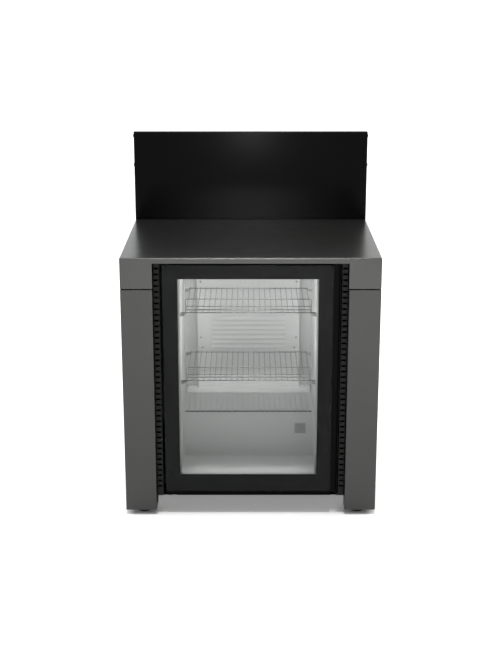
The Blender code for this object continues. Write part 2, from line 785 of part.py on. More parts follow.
# Slotted vent strips in the gaps beside the fridge
for side, label in ((-1, "left"), (1, "right")):
    flange_x = side * (HALF_OPENING - CLEARANCE - SHEET / 2)
    edge_x = side * (HALF_OPENING - CLEARANCE - STRIP_WIDTH + SHEET / 2)
    strip_path = [
        (flange_x, at(STRIP_SETBACK + STRIP_FLANGE)),
        (flange_x, at(STRIP_SETBACK + SHEET / 2)),
        (edge_x, at(STRIP_SETBACK + SHEET / 2)),
        (edge_x, at(STRIP_SETBACK + STRIP_RETURN)),
    ]
    lowest = STRIP_TONGUE_BOTTOM if label == "left" else STRIP_BOTTOM
    strip = prism(
        f"{label}_vent_strip",
        [sheet(strip_path, SHEET, STRIP_BEND)],
        "Z",
        lowest,
        UNDERSIDE - CLEARANCE,
    )
    middle = side * (HALF_OPENING - CLEARANCE - STRIP_WIDTH / 2)
    slot = block(
        f"{label}_strip_slot",
        (middle - SLOT_LENGTH / 2, at(STRIP_SETBACK) - CUT_MARGIN, SLOT_TOP - SLOT_HEIGHT / 2),
        (middle + SLOT_LENGTH / 2, at(STRIP_SETBACK) + STRIP_RETURN, SLOT_TOP + SLOT_HEIGHT / 2),
    )
    cut(strip, repeat(slot, SLOT_COUNT, (0, 0, -SLOT_PITCH)))
    if label == "left":
        # The mounting flange runs on below the slotted face and ends in a round tongue
        face_side = flange_x + SHEET / 2
        cut(strip, block(
            "strip_face_trim",
            (face_side, at(STRIP_SETBACK) - CUT_MARGIN, lowest - CUT_MARGIN),
            (face_side + STRIP_WIDTH, at(STRIP_SETBACK + STRIP_FLANGE) + CUT_MARGIN, STRIP_BOTTOM),
        ))
        tongue_middle = at(STRIP_SETBACK + STRIP_FLANGE / 2)
        radius = STRIP_FLANGE / 2
        trim = [
            (tongue_middle - radius - CUT_MARGIN, lowest + radius),
            (tongue_middle - radius - CUT_MARGIN, lowest - CUT_MARGIN),
            (tongue_middle + radius + CUT_MARGIN, lowest - CUT_MARGIN),
            (tongue_middle + radius + CUT_MARGIN, lowest + radius),
        ]
        for k in range(9):
            angle = math.pi * k / 8
            trim.append((
                tongue_middle + radius * math.cos(angle),
                lowest + radius - radius * math.sin(angle),
            ))
        cut(strip, prism(
            "strip_tongue_trim",
            [trim],
            "X",
            flange_x - STRIP_WIDTH,
            flange_x + STRIP_WIDTH,
        ))
    finish(strip, STRIP_BLACK, 0.45, 0.2)

# Fridge housing: side sheets, top, rear wall and the step over the machine compartment
housing = block(
    "fridge_housing",
    (HOUSING_LEFT, at(HOUSING_FRONT), HOUSING_BOTTOM),
    (HOUSING_RIGHT, at(HOUSING_REAR), HOUSING_TOP),
)
cut(housing, prism(
    "housing_hollow",
    [stepped(
        HOUSING_FRONT - CUT_MARGIN,
        HOUSING_REAR - HOUSING_SHEET,
        HOUSING_BOTTOM + HOUSING_SHEET,
        HOUSING_TOP - HOUSING_SHEET,
        STEP_FRONT - HOUSING_SHEET,
        STEP_TOP + HOUSING_SHEET,
    )],
    "X",
    HOUSING_LEFT + HOUSING_SHEET,
    HOUSING_RIGHT - HOUSING_SHEET,
))
cut(housing, block(
    "machine_compartment",
    (HOUSING_LEFT + HOUSING_SHEET, at(STEP_FRONT), HOUSING_BOTTOM - CUT_MARGIN),
    (HOUSING_RIGHT - HOUSING_SHEET, at(HOUSING_REAR) + CUT_MARGIN, STEP_TOP),
))
finish(housing, SOFT_BLACK, 0.45)

# Inner liner with its hump and front flange
liner = prism(
    "inner_liner",
    [stepped(
        HOUSING_FRONT + LINER_WALL / 2,
        LINER_REAR + LINER_WALL,
        LINER_BOTTOM - LINER_WALL,
        LINER_TOP + LINER_WALL,
        HUMP_FRONT + LINER_WALL,
        HUMP_TOP - LINER_WALL,
    )],
    "X",
    LINER_LEFT - LINER_WALL,
    LINER_RIGHT + LINER_WALL,
)
join(liner, block(
    "liner_flange",
    (
        HOUSING_LEFT + HOUSING_SHEET + CLEARANCE,
        at(HOUSING_FRONT),
        HOUSING_BOTTOM + HOUSING_SHEET + CLEARANCE,
    ),
    (
        HOUSING_RIGHT - HOUSING_SHEET - CLEARANCE,
        at(HOUSING_FRONT + LINER_WALL),
        HOUSING_TOP - HOUSING_SHEET - CLEARANCE,
    ),
))
cavity = prism(
    "liner_cavity",
    [stepped(
        HOUSING_FRONT - CUT_MARGIN - LINER_CORNER,
        LINER_REAR,
        LINER_BOTTOM,
        LINER_TOP,
        HUMP_FRONT,
        HUMP_TOP,
    )],
    "X",
    LINER_LEFT,
    LINER_RIGHT,
)
cut(liner, soften(cavity, LINER_CORNER))
finish(liner, LINER_WHITE, 0.35)

# Foam that fills the wall between housing and liner
foam = prism(
    "foam_insulation",
    [stepped(
        HOUSING_FRONT + LINER_WALL + CLEARANCE,
        HOUSING_REAR - HOUSING_SHEET - CLEARANCE,
        HOUSING_BOTTOM + HOUSING_SHEET + CLEARANCE,
        HOUSING_TOP - HOUSING_SHEET - CLEARANCE,
        STEP_FRONT - HOUSING_SHEET - CLEARANCE,
        STEP_TOP + HOUSING_SHEET + CLEARANCE,
    )],
    "X",
    HOUSING_LEFT + HOUSING_SHEET + CLEARANCE,
    HOUSING_RIGHT - HOUSING_SHEET - CLEARANCE,
)
cut(foam, prism(
    "foam_hollow",
    [stepped(
        HOUSING_FRONT - CUT_MARGIN,
        LINER_REAR + LINER_WALL + CLEARANCE,
        LINER_BOTTOM - LINER_WALL - CLEARANCE,
        LINER_TOP + LINER_WALL + CLEARANCE,
        HUMP_FRONT + LINER_WALL + CLEARANCE,
        HUMP_TOP - LINER_WALL - CLEARANCE,
    )],
    "X",
    LINER_LEFT - LINER_WALL - CLEARANCE,
    LINER_RIGHT + LINER_WALL + CLEARANCE,
))
finish(foam, FOAM_YELLOW, 0.9)

# Rear air cover with slanted louvres
cover = open_box(
    "rear_air_cover",
    (FRIDGE_CENTRE - COVER_WIDTH / 2, at(COVER_FRONT), COVER_BOTTOM),
    (FRIDGE_CENTRE + COVER_WIDTH / 2, at(LINER_REAR - CLEARANCE), COVER_TOP),
    (0, 1, 0),
    COVER_WALL,
    COVER_CORNER,
)
gap = block(
    "louvre_gap",
    (FRIDGE_CENTRE - LOUVRE_LENGTH / 2, at(COVER_FRONT) - CUT_MARGIN, LOUVRE_TOP - LOUVRE_GAP),
    (FRIDGE_CENTRE + LOUVRE_LENGTH / 2, at(COVER_FRONT) + CUT_MARGIN, LOUVRE_TOP),
)
cut(cover, repeat(gap, LOUVRE_COUNT, (0, 0, -LOUVRE_PITCH)))
blade_front = at(COVER_FRONT) - LOUVRE_GAP / 2
blade_rear = at(COVER_FRONT) + COVER_WALL
blade_low = LOUVRE_TOP - LOUVRE_GAP
blade_path = [
    (blade_front, blade_low),
    (blade_front + LOUVRE_BLADE, blade_low - LOUVRE_BLADE / 2),
    (blade_rear, LOUVRE_TOP - LOUVRE_BLADE / 2),
    (blade_rear, LOUVRE_TOP + LOUVRE_BLADE),
    (blade_rear - COVER_WALL / 2, LOUVRE_TOP + LOUVRE_BLADE),
]
blade = prism(
    "louvre_blade",
    [blade_path],
    "X",
    FRIDGE_CENTRE - LOUVRE_LENGTH / 2 - LOUVRE_BLADE,
    FRIDGE_CENTRE + LOUVRE_LENGTH / 2 + LOUVRE_BLADE,
)
join(cover, repeat(blade, LOUVRE_COUNT, (0, -LOUVRE_PITCH, 0)))
finish(cover, LINER_WHITE, 0.4)

# Evaporator: a plate with upright fins
fin_front = at(LINER_REAR - CLEARANCE - EVAPORATOR_DEPTH)
fin_root = at(LINER_REAR - CLEARANCE - EVAPORATOR_BASE)
fin_rear = at(LINER_REAR - CLEARANCE)
comb = [
    (FRIDGE_CENTRE + EVAPORATOR_WIDTH / 2, fin_rear),
    (FRIDGE_CENTRE - EVAPORATOR_WIDTH / 2, fin_rear),
]
for k in range(FIN_COUNT):
    share = k / (FIN_COUNT - 1)
    fin_left = FRIDGE_CENTRE - EVAPORATOR_WIDTH / 2 + share * (EVAPORATOR_WIDTH - FIN_THICKNESS)
    if k > 0:
        comb.append((fin_left, fin_root))
    comb.append((fin_left, fin_front))
    comb.append((fin_left + FIN_THICKNESS, fin_front))
    if k < FIN_COUNT - 1:
        comb.append((fin_left + FIN_THICKNESS, fin_root))
evaporator = prism("evaporator", [comb], "Z", EVAPORATOR_BOTTOM, EVAPORATOR_TOP)
finish(evaporator, ALUMINIUM, 0.35, 0.9)

# Evaporator fan: motor on the rear wall, rotor on its shaft
motor_front = FAN_PLATE_THICKNESS + FAN_MOTOR_LENGTH
shaft_end = motor_front + FAN_HUB_LENGTH - CLEARANCE
motor_profile = [
    (0, shaft_end),
    (FAN_SHAFT_RADIUS, shaft_end),
    (FAN_SHAFT_RADIUS, motor_front),
    (FAN_MOTOR_RADIUS - FAN_MOTOR_EDGE, motor_front),
    (FAN_MOTOR_RADIUS, motor_front - FAN_MOTOR_EDGE),
    (FAN_MOTOR_RADIUS, FAN_PLATE_THICKNESS),
    (FAN_PLATE_RADIUS, FAN_PLATE_THICKNESS),
    (FAN_PLATE_RADIUS, 0),
    (0, 0),
]
fan_seat = (FRIDGE_CENTRE, at(LINER_REAR - CLEARANCE), FAN_HEIGHT)
motor = turned("evaporator_fan_motor", motor_profile, fan_seat, "-Y")
finish(motor, SOFT_BLACK, 0.5)
hub_profile = [
    (FAN_SHAFT_RADIUS + CLEARANCE, FAN_HUB_LENGTH),
    (FAN_HUB_RADIUS - FAN_HUB_EDGE, FAN_HUB_LENGTH),
    (FAN_HUB_RADIUS, FAN_HUB_LENGTH - FAN_HUB_EDGE),
    (FAN_HUB_RADIUS, 0),
    (FAN_SHAFT_RADIUS + CLEARANCE, 0),
]
rotor_place = (FRIDGE_CENTRE, at(LINER_REAR - CLEARANCE - motor_front - CLEARANCE), FAN_HEIGHT)
rotor = turned("evaporator_fan_rotor", hub_profile, rotor_place, "-Y", 14, True)
blade_mesh = bpy.data.meshes.new("fan_blades")
bm = bmesh.new()
for k in range(FAN_BLADES):
    grid = []
    for i in range(4):
        radius = FAN_HUB_RADIUS - FAN_HUB_EDGE + (FAN_RADIUS - FAN_HUB_RADIUS + FAN_HUB_EDGE) * i / 3
        chord = FAN_BLADE_CHORD + FAN_BLADE_FLARE * i / 3
        turn = 2 * math.pi * k / FAN_BLADES + FAN_BLADE_SWEEP * i / 3
        row = []
        for j in range(3):
            swing = turn + chord * (j / 2 - 0.5)
            twist = FAN_BLADE_TWIST * (1 - FAN_TIP_EASE * i / 3)
            rise = FAN_HUB_LENGTH * (0.5 + twist * (j / 2 - 0.5))
            row.append(bm.verts.new((radius * math.cos(swing), radius * math.sin(swing), rise)))
        grid.append(row)
    for i in range(3):
        for j in range(2):
            bm.faces.new((grid[i][j], grid[i + 1][j], grid[i + 1][j + 1], grid[i][j + 1]))
bm.to_mesh(blade_mesh)
bm.free()
blades = add_object("fan_blades", blade_mesh)
blades.location = rotor_place
blades.rotation_euler = (math.radians(90), 0, 0)
thicken = blades.modifiers.new("blade thickness", "SOLIDIFY")
thicken.thickness = FAN_BLADE_THICKNESS
thicken.offset = 0.0
join(rotor, blades)
finish(rotor, STRIP_BLACK, 0.45)

# Interior light under the ceiling
light = prism(
    "interior_light",
    [[
        (at(LIGHT_DEPTH - LIGHT_WIDTH / 2), LINER_TOP - CLEARANCE),
        (at(LIGHT_DEPTH - LIGHT_WIDTH / 2), LINER_TOP - LIGHT_HEIGHT * 0.5),
        (at(LIGHT_DEPTH - LIGHT_WIDTH / 4), LINER_TOP - LIGHT_HEIGHT),
        (at(LIGHT_DEPTH + LIGHT_WIDTH / 4), LINER_TOP - LIGHT_HEIGHT),
        (at(LIGHT_DEPTH + LIGHT_WIDTH / 2), LINER_TOP - LIGHT_HEIGHT * 0.5),
        (at(LIGHT_DEPTH + LIGHT_WIDTH / 2), LINER_TOP - CLEARANCE),
    ]],
    "X",
    FRIDGE_CENTRE - LIGHT_LENGTH / 2,
    FRIDGE_CENTRE + LIGHT_LENGTH / 2,
)
finish(light, DIFFUSER_WHITE, 0.4)

# Slotted shelf standards on the side walls, and the clips hooked into them
clip_hooks = (
    ("upper", UPPER_SHELF_HEIGHT - CROSS_WIRE_RADIUS - CLEARANCE),
    ("middle", MIDDLE_SHELF_HEIGHT - CROSS_WIRE_RADIUS - CLEARANCE),
)
first_slot = UPPER_SHELF_HEIGHT - CROSS_WIRE_RADIUS - CLEARANCE - CLIP_HEIGHT / 2
slots_above = math.floor((STANDARD_TOP - STANDARD_SLOT_HEIGHT - first_slot) / STANDARD_PITCH)
top_slot = first_slot + slots_above * STANDARD_PITCH
for side, label, wall in ((1, "left", LINER_LEFT), (-1, "right", LINER_RIGHT)):
    face = wall + side * (CLEARANCE + STANDARD_THICKNESS)
    for depth, end, floor_height in ((SHELF_FRONT, "front", LINER_BOTTOM), (SHELF_REAR, "rear", HUMP_TOP)):
        count = math.floor((top_slot - floor_height - STANDARD_FOOT_GAP) / STANDARD_PITCH)
        bottom = top_slot - count * STANDARD_PITCH
        standard = prism(
            f"{label}_{end}_shelf_standard",
            [rectangle(
                at(depth - STANDARD_WIDTH / 2),
                at(depth + STANDARD_WIDTH / 2),
                bottom,
                STANDARD_TOP,
            )],
            "X",
            min(face, wall + side * CLEARANCE),
            max(face, wall + side * CLEARANCE),
        )
        slot = block(
            "standard_slot",
            (wall - CUT_MARGIN, at(depth - STANDARD_SLOT_WIDTH / 2), top_slot - STANDARD_SLOT_HEIGHT / 2),
            (wall + CUT_MARGIN, at(depth + STANDARD_SLOT_WIDTH / 2), top_slot + STANDARD_SLOT_HEIGHT / 2),
        )
        cut(standard, repeat(slot, count, (0, 0, -STANDARD_PITCH)))
        finish(standard, LINER_WHITE, 0.4)
        for level, clip_top in clip_hooks:
            near = face + side * CLEARANCE
            far = face + side * CLIP_LENGTH
            clip_outline = [
                (near, clip_top - CLIP_HEIGHT),
                (near + side * CLIP_LENGTH / 3, clip_top - CLIP_HEIGHT),
                (far, clip_top - CLIP_HEIGHT / 2),
                (far, clip_top),
                (near, clip_top),
            ]
            clip = prism(
                f"{level}_{label}_{end}_clip",
                [clip_outline],
                "Y",
                at(depth - CLIP_WIDTH / 2),
                at(depth + CLIP_WIDTH / 2),
            )
            hook_low = clip_top - CLIP_HEIGHT / 2 - STANDARD_SLOT_HEIGHT / 2 + CLEARANCE
            join(clip, block(
                "clip_hook",
                (
                    min(face - side * (STANDARD_THICKNESS - CLEARANCE), near + side * CLIP_HOOK_ROOT),
                    at(depth - STANDARD_SLOT_WIDTH / 2 + CLEARANCE),
                    hook_low + CLIP_HOOK_LIFT,
                ),
                (
                    max(face - side * (STANDARD_THICKNESS - CLEARANCE), near + side * CLIP_HOOK_ROOT),
                    at(depth + STANDARD_SLOT_WIDTH / 2 - CLEARANCE),
                    clip_top - CLIP_HOOK_DROP,
                ),
            ))
            finish(clip, CLIP_GREY, 0.5)


def depth_wires(name, front, rear, height):
    """A row of wires running from front to rear."""
    first = FRIDGE_CENTRE - WIRE_PITCH * (WIRE_COUNT - 1) / 2
    paths = []
    for k in range(WIRE_COUNT):
        x = first + k * WIRE_PITCH
        paths.append([(x, at(front), height), (x, at(rear), height)])
    return tubes(name, paths, DEPTH_WIRE_RADIUS, 0)


def cross_wire(name, depth, length, height):
    """One wire running from side to side."""
    path = [
        (FRIDGE_CENTRE - length / 2, at(depth), height),
        (FRIDGE_CENTRE + length / 2, at(depth), height),
    ]
    return tubes(name, [path], CROSS_WIRE_RADIUS)


# Wire shelves with a guard rail at the front
mat_rise = CROSS_WIRE_RADIUS + DEPTH_WIRE_RADIUS - WIRE_WELD
for name, height in (
    ("upper_wire_shelf", UPPER_SHELF_HEIGHT),
    ("middle_wire_shelf", MIDDLE_SHELF_HEIGHT),
):
    shelf = cross_wire(name, SHELF_FRONT, FRONT_WIRE_LENGTH, height)
    join(shelf, depth_wires(
        f"{name}_mat",
        SHELF_FRONT - MAT_OVERHANG / 3,
        SHELF_REAR + MAT_OVERHANG,
        height + mat_rise,
    ))
    join(shelf, cross_wire(f"{name}_rim", SHELF_RIM, MAT_LENGTH, height))
    join(shelf, cross_wire(f"{name}_rear", SHELF_REAR, MAT_LENGTH, height))
    fence_left = FRIDGE_CENTRE - FENCE_WIDTH / 2
    fence_right = FRIDGE_CENTRE + FENCE_WIDTH / 2
    fence_path = rounded(
        [
            (fence_left, at(SHELF_FRONT), height),
            (fence_left, at(SHELF_FRONT), height + FENCE_HEIGHT),
            (fence_right, at(SHELF_FRONT), height + FENCE_HEIGHT),
            (fence_right, at(SHELF_FRONT), height),
        ],
        [FENCE_CORNER, FENCE_CORNER],
    )
    join(shelf, tubes(f"{name}_fence", [fence_path], DEPTH_WIRE_RADIUS))
    join(shelf, tubes(
        f"{name}_fence_middle",
        [[
            (fence_left, at(SHELF_FRONT), height + FENCE_MIDDLE),
            (fence_right, at(SHELF_FRONT), height + FENCE_MIDDLE),
        ]],
        DEPTH_WIRE_RADIUS * 0.9,
    ))
    finish(shelf, STEEL, 0.25, 1.0)

# Flat wire mat on the hump
mat_front = HUMP_FRONT + LINER_CORNER + CROSS_WIRE_RADIUS
mat_height = HUMP_TOP + CLEARANCE + CROSS_WIRE_RADIUS
hump_mat = cross_wire("hump_wire_mat", mat_front, LINER_WIDTH - 2 * LINER_CORNER, mat_height)
join(hump_mat, depth_wires(
    "hump_mat_wires",
    mat_front - MAT_OVERHANG / 3,
    SHELF_REAR + MAT_OVERHANG,
    mat_height + mat_rise,
))
join(hump_mat, cross_wire("hump_mat_rear", SHELF_REAR, MAT_LENGTH, mat_height))
finish(hump_mat, STEEL, 0.25, 1.0)

# Rocker control on the front of the hump
plate_rear = at(HUMP_FRONT - CLEARANCE)
plate_front = at(HUMP_FRONT - CLEARANCE - CONTROL_THICKNESS)
control_left = CONTROL_CENTRE - CONTROL_WIDTH / 2
control_right = CONTROL_CENTRE + CONTROL_WIDTH / 2
control_plate = prism(
    "control_plate",
    [
        soft_rectangle(
            control_left,
            control_right,
            CONTROL_HEIGHT - CONTROL_TALL / 2,
            CONTROL_HEIGHT + CONTROL_TALL / 2,
            CONTROL_CORNER,
            2,
        ),
        rectangle(
            CONTROL_CENTRE - ROCKER_WIDTH / 2 - CLEARANCE,
            CONTROL_CENTRE + ROCKER_WIDTH / 2 + CLEARANCE,
            CONTROL_HEIGHT - ROCKER_TALL / 2 - CLEARANCE * 2,
            CONTROL_HEIGHT + ROCKER_TALL / 2 + CLEARANCE * 2,
        ),
    ],
    "Y",
    plate_front,
    plate_rear,
)
finish(control_plate, CONTROL_GREY, 0.5)
rocker_depth = HUMP_FRONT - CLEARANCE - CONTROL_THICKNESS * ROCKER_AXIS_SHARE
rocker_axis = bpy.data.objects.new("control_rocker_axis", None)
parts.objects.link(rocker_axis)
rocker_axis.location = (CONTROL_CENTRE, at(rocker_depth), CONTROL_HEIGHT)
rocker = prism(
    "control_rocker",
    [[
        (plate_front - ROCKER_PROUD, CONTROL_HEIGHT - ROCKER_TALL / 2),
        (at(rocker_depth), CONTROL_HEIGHT - ROCKER_TALL / 2),
        (at(rocker_depth) + ROCKER_DISH, CONTROL_HEIGHT),
        (at(rocker_depth), CONTROL_HEIGHT + ROCKER_TALL / 2),
        (plate_front - ROCKER_PROUD, CONTROL_HEIGHT + ROCKER_TALL / 2),
        (plate_front - ROCKER_PROUD + ROCKER_DISH, CONTROL_HEIGHT),
    ]],
    "X",
    CONTROL_CENTRE - ROCKER_WIDTH / 2,
    CONTROL_CENTRE + ROCKER_WIDTH / 2,
)
hang(finish(rocker, ROCKER_GREY, 0.45), rocker_axis)

# Machine compartment: base plate, compressor, condensate tray, mains inlet, condenser
plate_left = HOUSING_LEFT + HOUSING_SHEET + CLEARANCE + BASE_PLATE_SHEET / 2
plate_right = HOUSING_RIGHT - HOUSING_SHEET - CLEARANCE - BASE_PLATE_SHEET / 2
plate_middle = HOUSING_BOTTOM + BASE_PLATE_SHEET / 2
base_plate = prism(
    "compressor_base_plate",
    [sheet(
        [
            (plate_left, plate_middle + BASE_PLATE_FLANGE),
            (plate_left, plate_middle),
            (plate_right, plate_middle),
            (plate_right, plate_middle + BASE_PLATE_FLANGE),
        ],
        BASE_PLATE_SHEET,
        SHEET_BEND,
    )],
    "Y",
    at(STEP_FRONT + CLEARANCE),
    at(HOUSING_REAR),
)
finish(base_plate, GALVANISED, 0.4, 0.9)

pot_profile = [(0, COMPRESSOR_HEIGHT)]
for share, drop in COMPRESSOR_DOME:
    pot_profile.append((COMPRESSOR_RADIUS * share, COMPRESSOR_HEIGHT - drop))
pot_profile += [
    (COMPRESSOR_RADIUS * 0.95, COMPRESSOR_HEIGHT * 0.52),
    (COMPRESSOR_RADIUS, COMPRESSOR_HEIGHT * 0.52),
    (COMPRESSOR_RADIUS, COMPRESSOR_HEIGHT * 0.49),
    (COMPRESSOR_RADIUS * 0.95, COMPRESSOR_HEIGHT * 0.49),
]
for share, rise in COMPRESSOR_FOOT:
    pot_profile.append((COMPRESSOR_RADIUS * share, rise))
pot_profile += [(COMPRESSOR_RADIUS * COMPRESSOR_FOOT[-1][0], 0), (0, 0)]
compressor_place = (COMPRESSOR_X, at(COMPRESSOR_DEPTH), BASE_PLATE_TOP + CLEARANCE)
compressor = turned("compressor", pot_profile, compressor_place, "Z", 20)
finish(compressor, GLOSS_BLACK, 0.4, 0.3)

tray = open_box(
    "condensate_tray",
    (TRAY_X - TRAY_WIDTH / 2, at(COMPRESSOR_DEPTH) - TRAY_LENGTH / 2, BASE_PLATE_TOP + CLEARANCE),
    (
        TRAY_X + TRAY_WIDTH / 2,
        at(COMPRESSOR_DEPTH) + TRAY_LENGTH / 2,
        BASE_PLATE_TOP + CLEARANCE + TRAY_HEIGHT,
    ),
    (0, 0, 1),
    TRAY_WALL,
    TRAY_CORNER,
)
finish(tray, STRIP_BLACK, 0.5)

inlet_top = BASE_PLATE_TOP + CLEARANCE + INLET_HEIGHT
inlet = block(
    "mains_inlet",
    (INLET_X - INLET_WIDTH / 2, at(HOUSING_REAR) - INLET_LENGTH, BASE_PLATE_TOP + CLEARANCE),
    (INLET_X + INLET_WIDTH / 2, at(HOUSING_REAR), inlet_top),
)
cut(inlet, block(
    "inlet_recess",
    (
        INLET_X - INLET_WIDTH / 2 + INLET_RIM,
        at(HOUSING_REAR) - INLET_RECESS,
        BASE_PLATE_TOP + CLEARANCE + INLET_RIM,
    ),
    (
        INLET_X + INLET_WIDTH / 2 - INLET_RIM,
        at(HOUSING_REAR) + CUT_MARGIN,
        inlet_top - INLET_RIM,
    ),
))
finish(inlet, SOFT_BLACK, 0.5)

coil_y = at(HOUSING_REAR) + CLEARANCE + CONDENSER_RADIUS
coil = []
for k in range(CONDENSER_PASSES):
    direction = 1 if k % 2 == 0 else -1
    z = CONDENSER_BOTTOM + k * CONDENSER_PITCH
    coil.append((FRIDGE_CENTRE - direction * CONDENSER_HALF, coil_y, z))
    coil.append((FRIDGE_CENTRE + direction * CONDENSER_HALF, coil_y, z))
condenser_path = rounded(coil, [CONDENSER_PITCH * 0.49] * (len(coil) - 2))
condenser = tubes("condenser_coil", [condenser_path], CONDENSER_RADIUS)
finish(condenser, SOFT_BLACK, 0.45, 0.3)

# Hinge brackets with their pins
pin_place = Vector((PIVOT_X, at(PIVOT_DEPTH), 0))
for label, plate_low, pin_low, pin_high in (
    (
        "upper",
        HOUSING_TOP + CLEARANCE,
        DOOR_TOP - PIN_LENGTH,
        HOUSING_TOP + CLEARANCE + BRACKET_THICKNESS / 2,
    ),
    (
        "lower",
        HOUSING_BOTTOM - CLEARANCE - BRACKET_THICKNESS,
        HOUSING_BOTTOM - CLEARANCE - BRACKET_THICKNESS / 2,
        HOUSING_BOTTOM + PIN_LENGTH,
    ),
):
    nose = []
    for k in range(9):
        angle = math.pi + math.pi * k / 8
        nose.append((
            PIVOT_X + BRACKET_WIDTH / 3 * math.cos(angle),
            at(PIVOT_DEPTH) + BRACKET_WIDTH / 3 * math.sin(angle),
        ))
    bracket_outline = nose + [
        (PIVOT_X + BRACKET_WIDTH / 3, at(HOUSING_FRONT)),
        (PIVOT_X + BRACKET_WIDTH / 3 + BRACKET_WIDTH, at(HOUSING_FRONT + BRACKET_WIDTH / 2)),
        (PIVOT_X + BRACKET_WIDTH / 3 + BRACKET_WIDTH, at(HOUSING_FRONT + BRACKET_REACH)),
        (PIVOT_X - BRACKET_WIDTH / 3, at(HOUSING_FRONT + BRACKET_REACH)),
    ]
    bracket = prism(
        f"{label}_hinge_bracket",
        [bracket_outline],
        "Z",
        plate_low,
        plate_low + BRACKET_THICKNESS,
    )
    pin_profile = [
        (0, pin_high),
        (PIN_RADIUS, pin_high),
        (PIN_RADIUS, pin_low),
        (0, pin_low),
    ]
    join(bracket, turned(f"{label}_hinge_pin", pin_profile, pin_place))
    finish(bracket, SOFT_BLACK, 0.45, 0.3)

# Door: everything below swings on the hinge axis
door_axis = bpy.data.objects.new("door_hinge_axis", None)
parts.objects.link(door_axis)
door_axis.location = (PIVOT_X, at(PIVOT_DEPTH), 0)

bush_radius = PIN_RADIUS + CLEARANCE + BUSH_WALL
notch_top = HOUSING_BOTTOM + BRACKET_NOTCH
door_frame = prism(
    "door_frame",
    [
        rectangle(DOOR_LEFT, GLASS_RIGHT, DOOR_BOTTOM, DOOR_TOP),
        rectangle(REVEAL_LEFT_X, REVEAL_RIGHT_X, REVEAL_LOW, REVEAL_HIGH),
    ],
    "Y",
    at(FRAME_FACE),
    at(DOOR_REAR),
)
cut(door_frame, block(
    "glazing_pocket",
    (REVEAL_LEFT_X - POCKET_MARGIN, at(FRAME_FACE) - CUT_MARGIN, REVEAL_LOW - POCKET_MARGIN),
    (REVEAL_RIGHT_X + POCKET_MARGIN, at(POCKET_REAR), REVEAL_HIGH + POCKET_MARGIN),
))
cut(door_frame, block(
    "hinge_notch",
    (
        DOOR_LEFT - CUT_MARGIN,
        at(PIVOT_DEPTH) - BRACKET_WIDTH,
        DOOR_BOTTOM - CUT_MARGIN,
    ),
    (PIVOT_X + BRACKET_WIDTH * 0.75, at(DOOR_REAR) + CUT_MARGIN, notch_top),
))
bush_spans = (
    ("upper", DOOR_TOP - PIN_LENGTH - CLEARANCE * 2, DOOR_TOP),
    ("lower", notch_top, HOUSING_BOTTOM + PIN_LENGTH + CLEARANCE * 2),
)
for label, bush_low, bush_high in bush_spans:
    seat_low = bush_low if label == "upper" else bush_low - CUT_MARGIN
    seat_high = bush_high + CUT_MARGIN if label == "upper" else bush_high
    seat_profile = [
        (0, seat_high),
        (bush_radius + CLEARANCE, seat_high),
        (bush_radius + CLEARANCE, seat_low),
        (0, seat_low),
    ]
    cut(door_frame, turned(f"{label}_bush_seat", seat_profile, pin_place))
    bush_profile = [
        (PIN_RADIUS + CLEARANCE, bush_high - CLEARANCE),
        (bush_radius, bush_high - CLEARANCE),
        (bush_radius, bush_low + CLEARANCE),
        (PIN_RADIUS + CLEARANCE, bush_low + CLEARANCE),
    ]
    bush = turned(f"{label}_hinge_bush", bush_profile, pin_place, "Z", 12, True)
    hang(finish(bush, BUSH_WHITE, 0.4), door_axis)
hang(finish(door_frame, SOFT_BLACK, 0.4), door_axis)

outer_glass = prism(
    "door_glass_outer",
    [soft_rectangle(DOOR_LEFT, GLASS_RIGHT, GLASS_BOTTOM, GLASS_TOP, GLASS_CORNER)],
    "Y",
    at(DOOR_FRONT),
    at(DOOR_FRONT + GLASS_THICKNESS),
)
hang(finish(outer_glass, CLEAR_GLASS, 0.03, 0.0, 0.9), door_axis)

border_front = DOOR_FRONT + GLASS_THICKNESS + CLEARANCE
border = prism(
    "door_glass_border",
    [
        soft_rectangle(DOOR_LEFT, GLASS_RIGHT, GLASS_BOTTOM, GLASS_TOP, GLASS_CORNER),
        rectangle(WINDOW_LEFT, WINDOW_RIGHT, WINDOW_BOTTOM, WINDOW_TOP),
    ],
    "Y",
    at(border_front),
    at(border_front + BORDER_THICKNESS),
)
hang(finish(border, GLOSS_BLACK, 0.3), door_axis)

spacer_edge = POCKET_MARGIN - CLEARANCE
spacer_inner = spacer_edge - SPACER_WIDTH
spacer = prism(
    "glazing_spacer",
    [
        rectangle(
            REVEAL_LEFT_X - spacer_edge,
            REVEAL_RIGHT_X + spacer_edge,
            REVEAL_LOW - spacer_edge,
            REVEAL_HIGH + spacer_edge,
        ),
        rectangle(
            REVEAL_LEFT_X - spacer_inner,
            REVEAL_RIGHT_X + spacer_inner,
            REVEAL_LOW - spacer_inner,
            REVEAL_HIGH + spacer_inner,
        ),
    ],
    "Y",
    at(FRAME_FACE),
    at(FRAME_FACE + SPACER_DEPTH),
)
hang(finish(spacer, ALUMINIUM, 0.35, 0.9), door_axis)

inner_front = FRAME_FACE + SPACER_DEPTH + CLEARANCE
inner_glass = prism(
    "door_glass_inner",
    [rectangle(
        REVEAL_LEFT_X - spacer_edge,
        REVEAL_RIGHT_X + spacer_edge,
        REVEAL_LOW - spacer_edge,
        REVEAL_HIGH + spacer_edge,
    )],
    "Y",
    at(inner_front),
    at(inner_front + GLASS_THICKNESS),
)
hang(finish(inner_glass, CLEAR_GLASS, 0.03, 0.0, 0.9), door_axis)

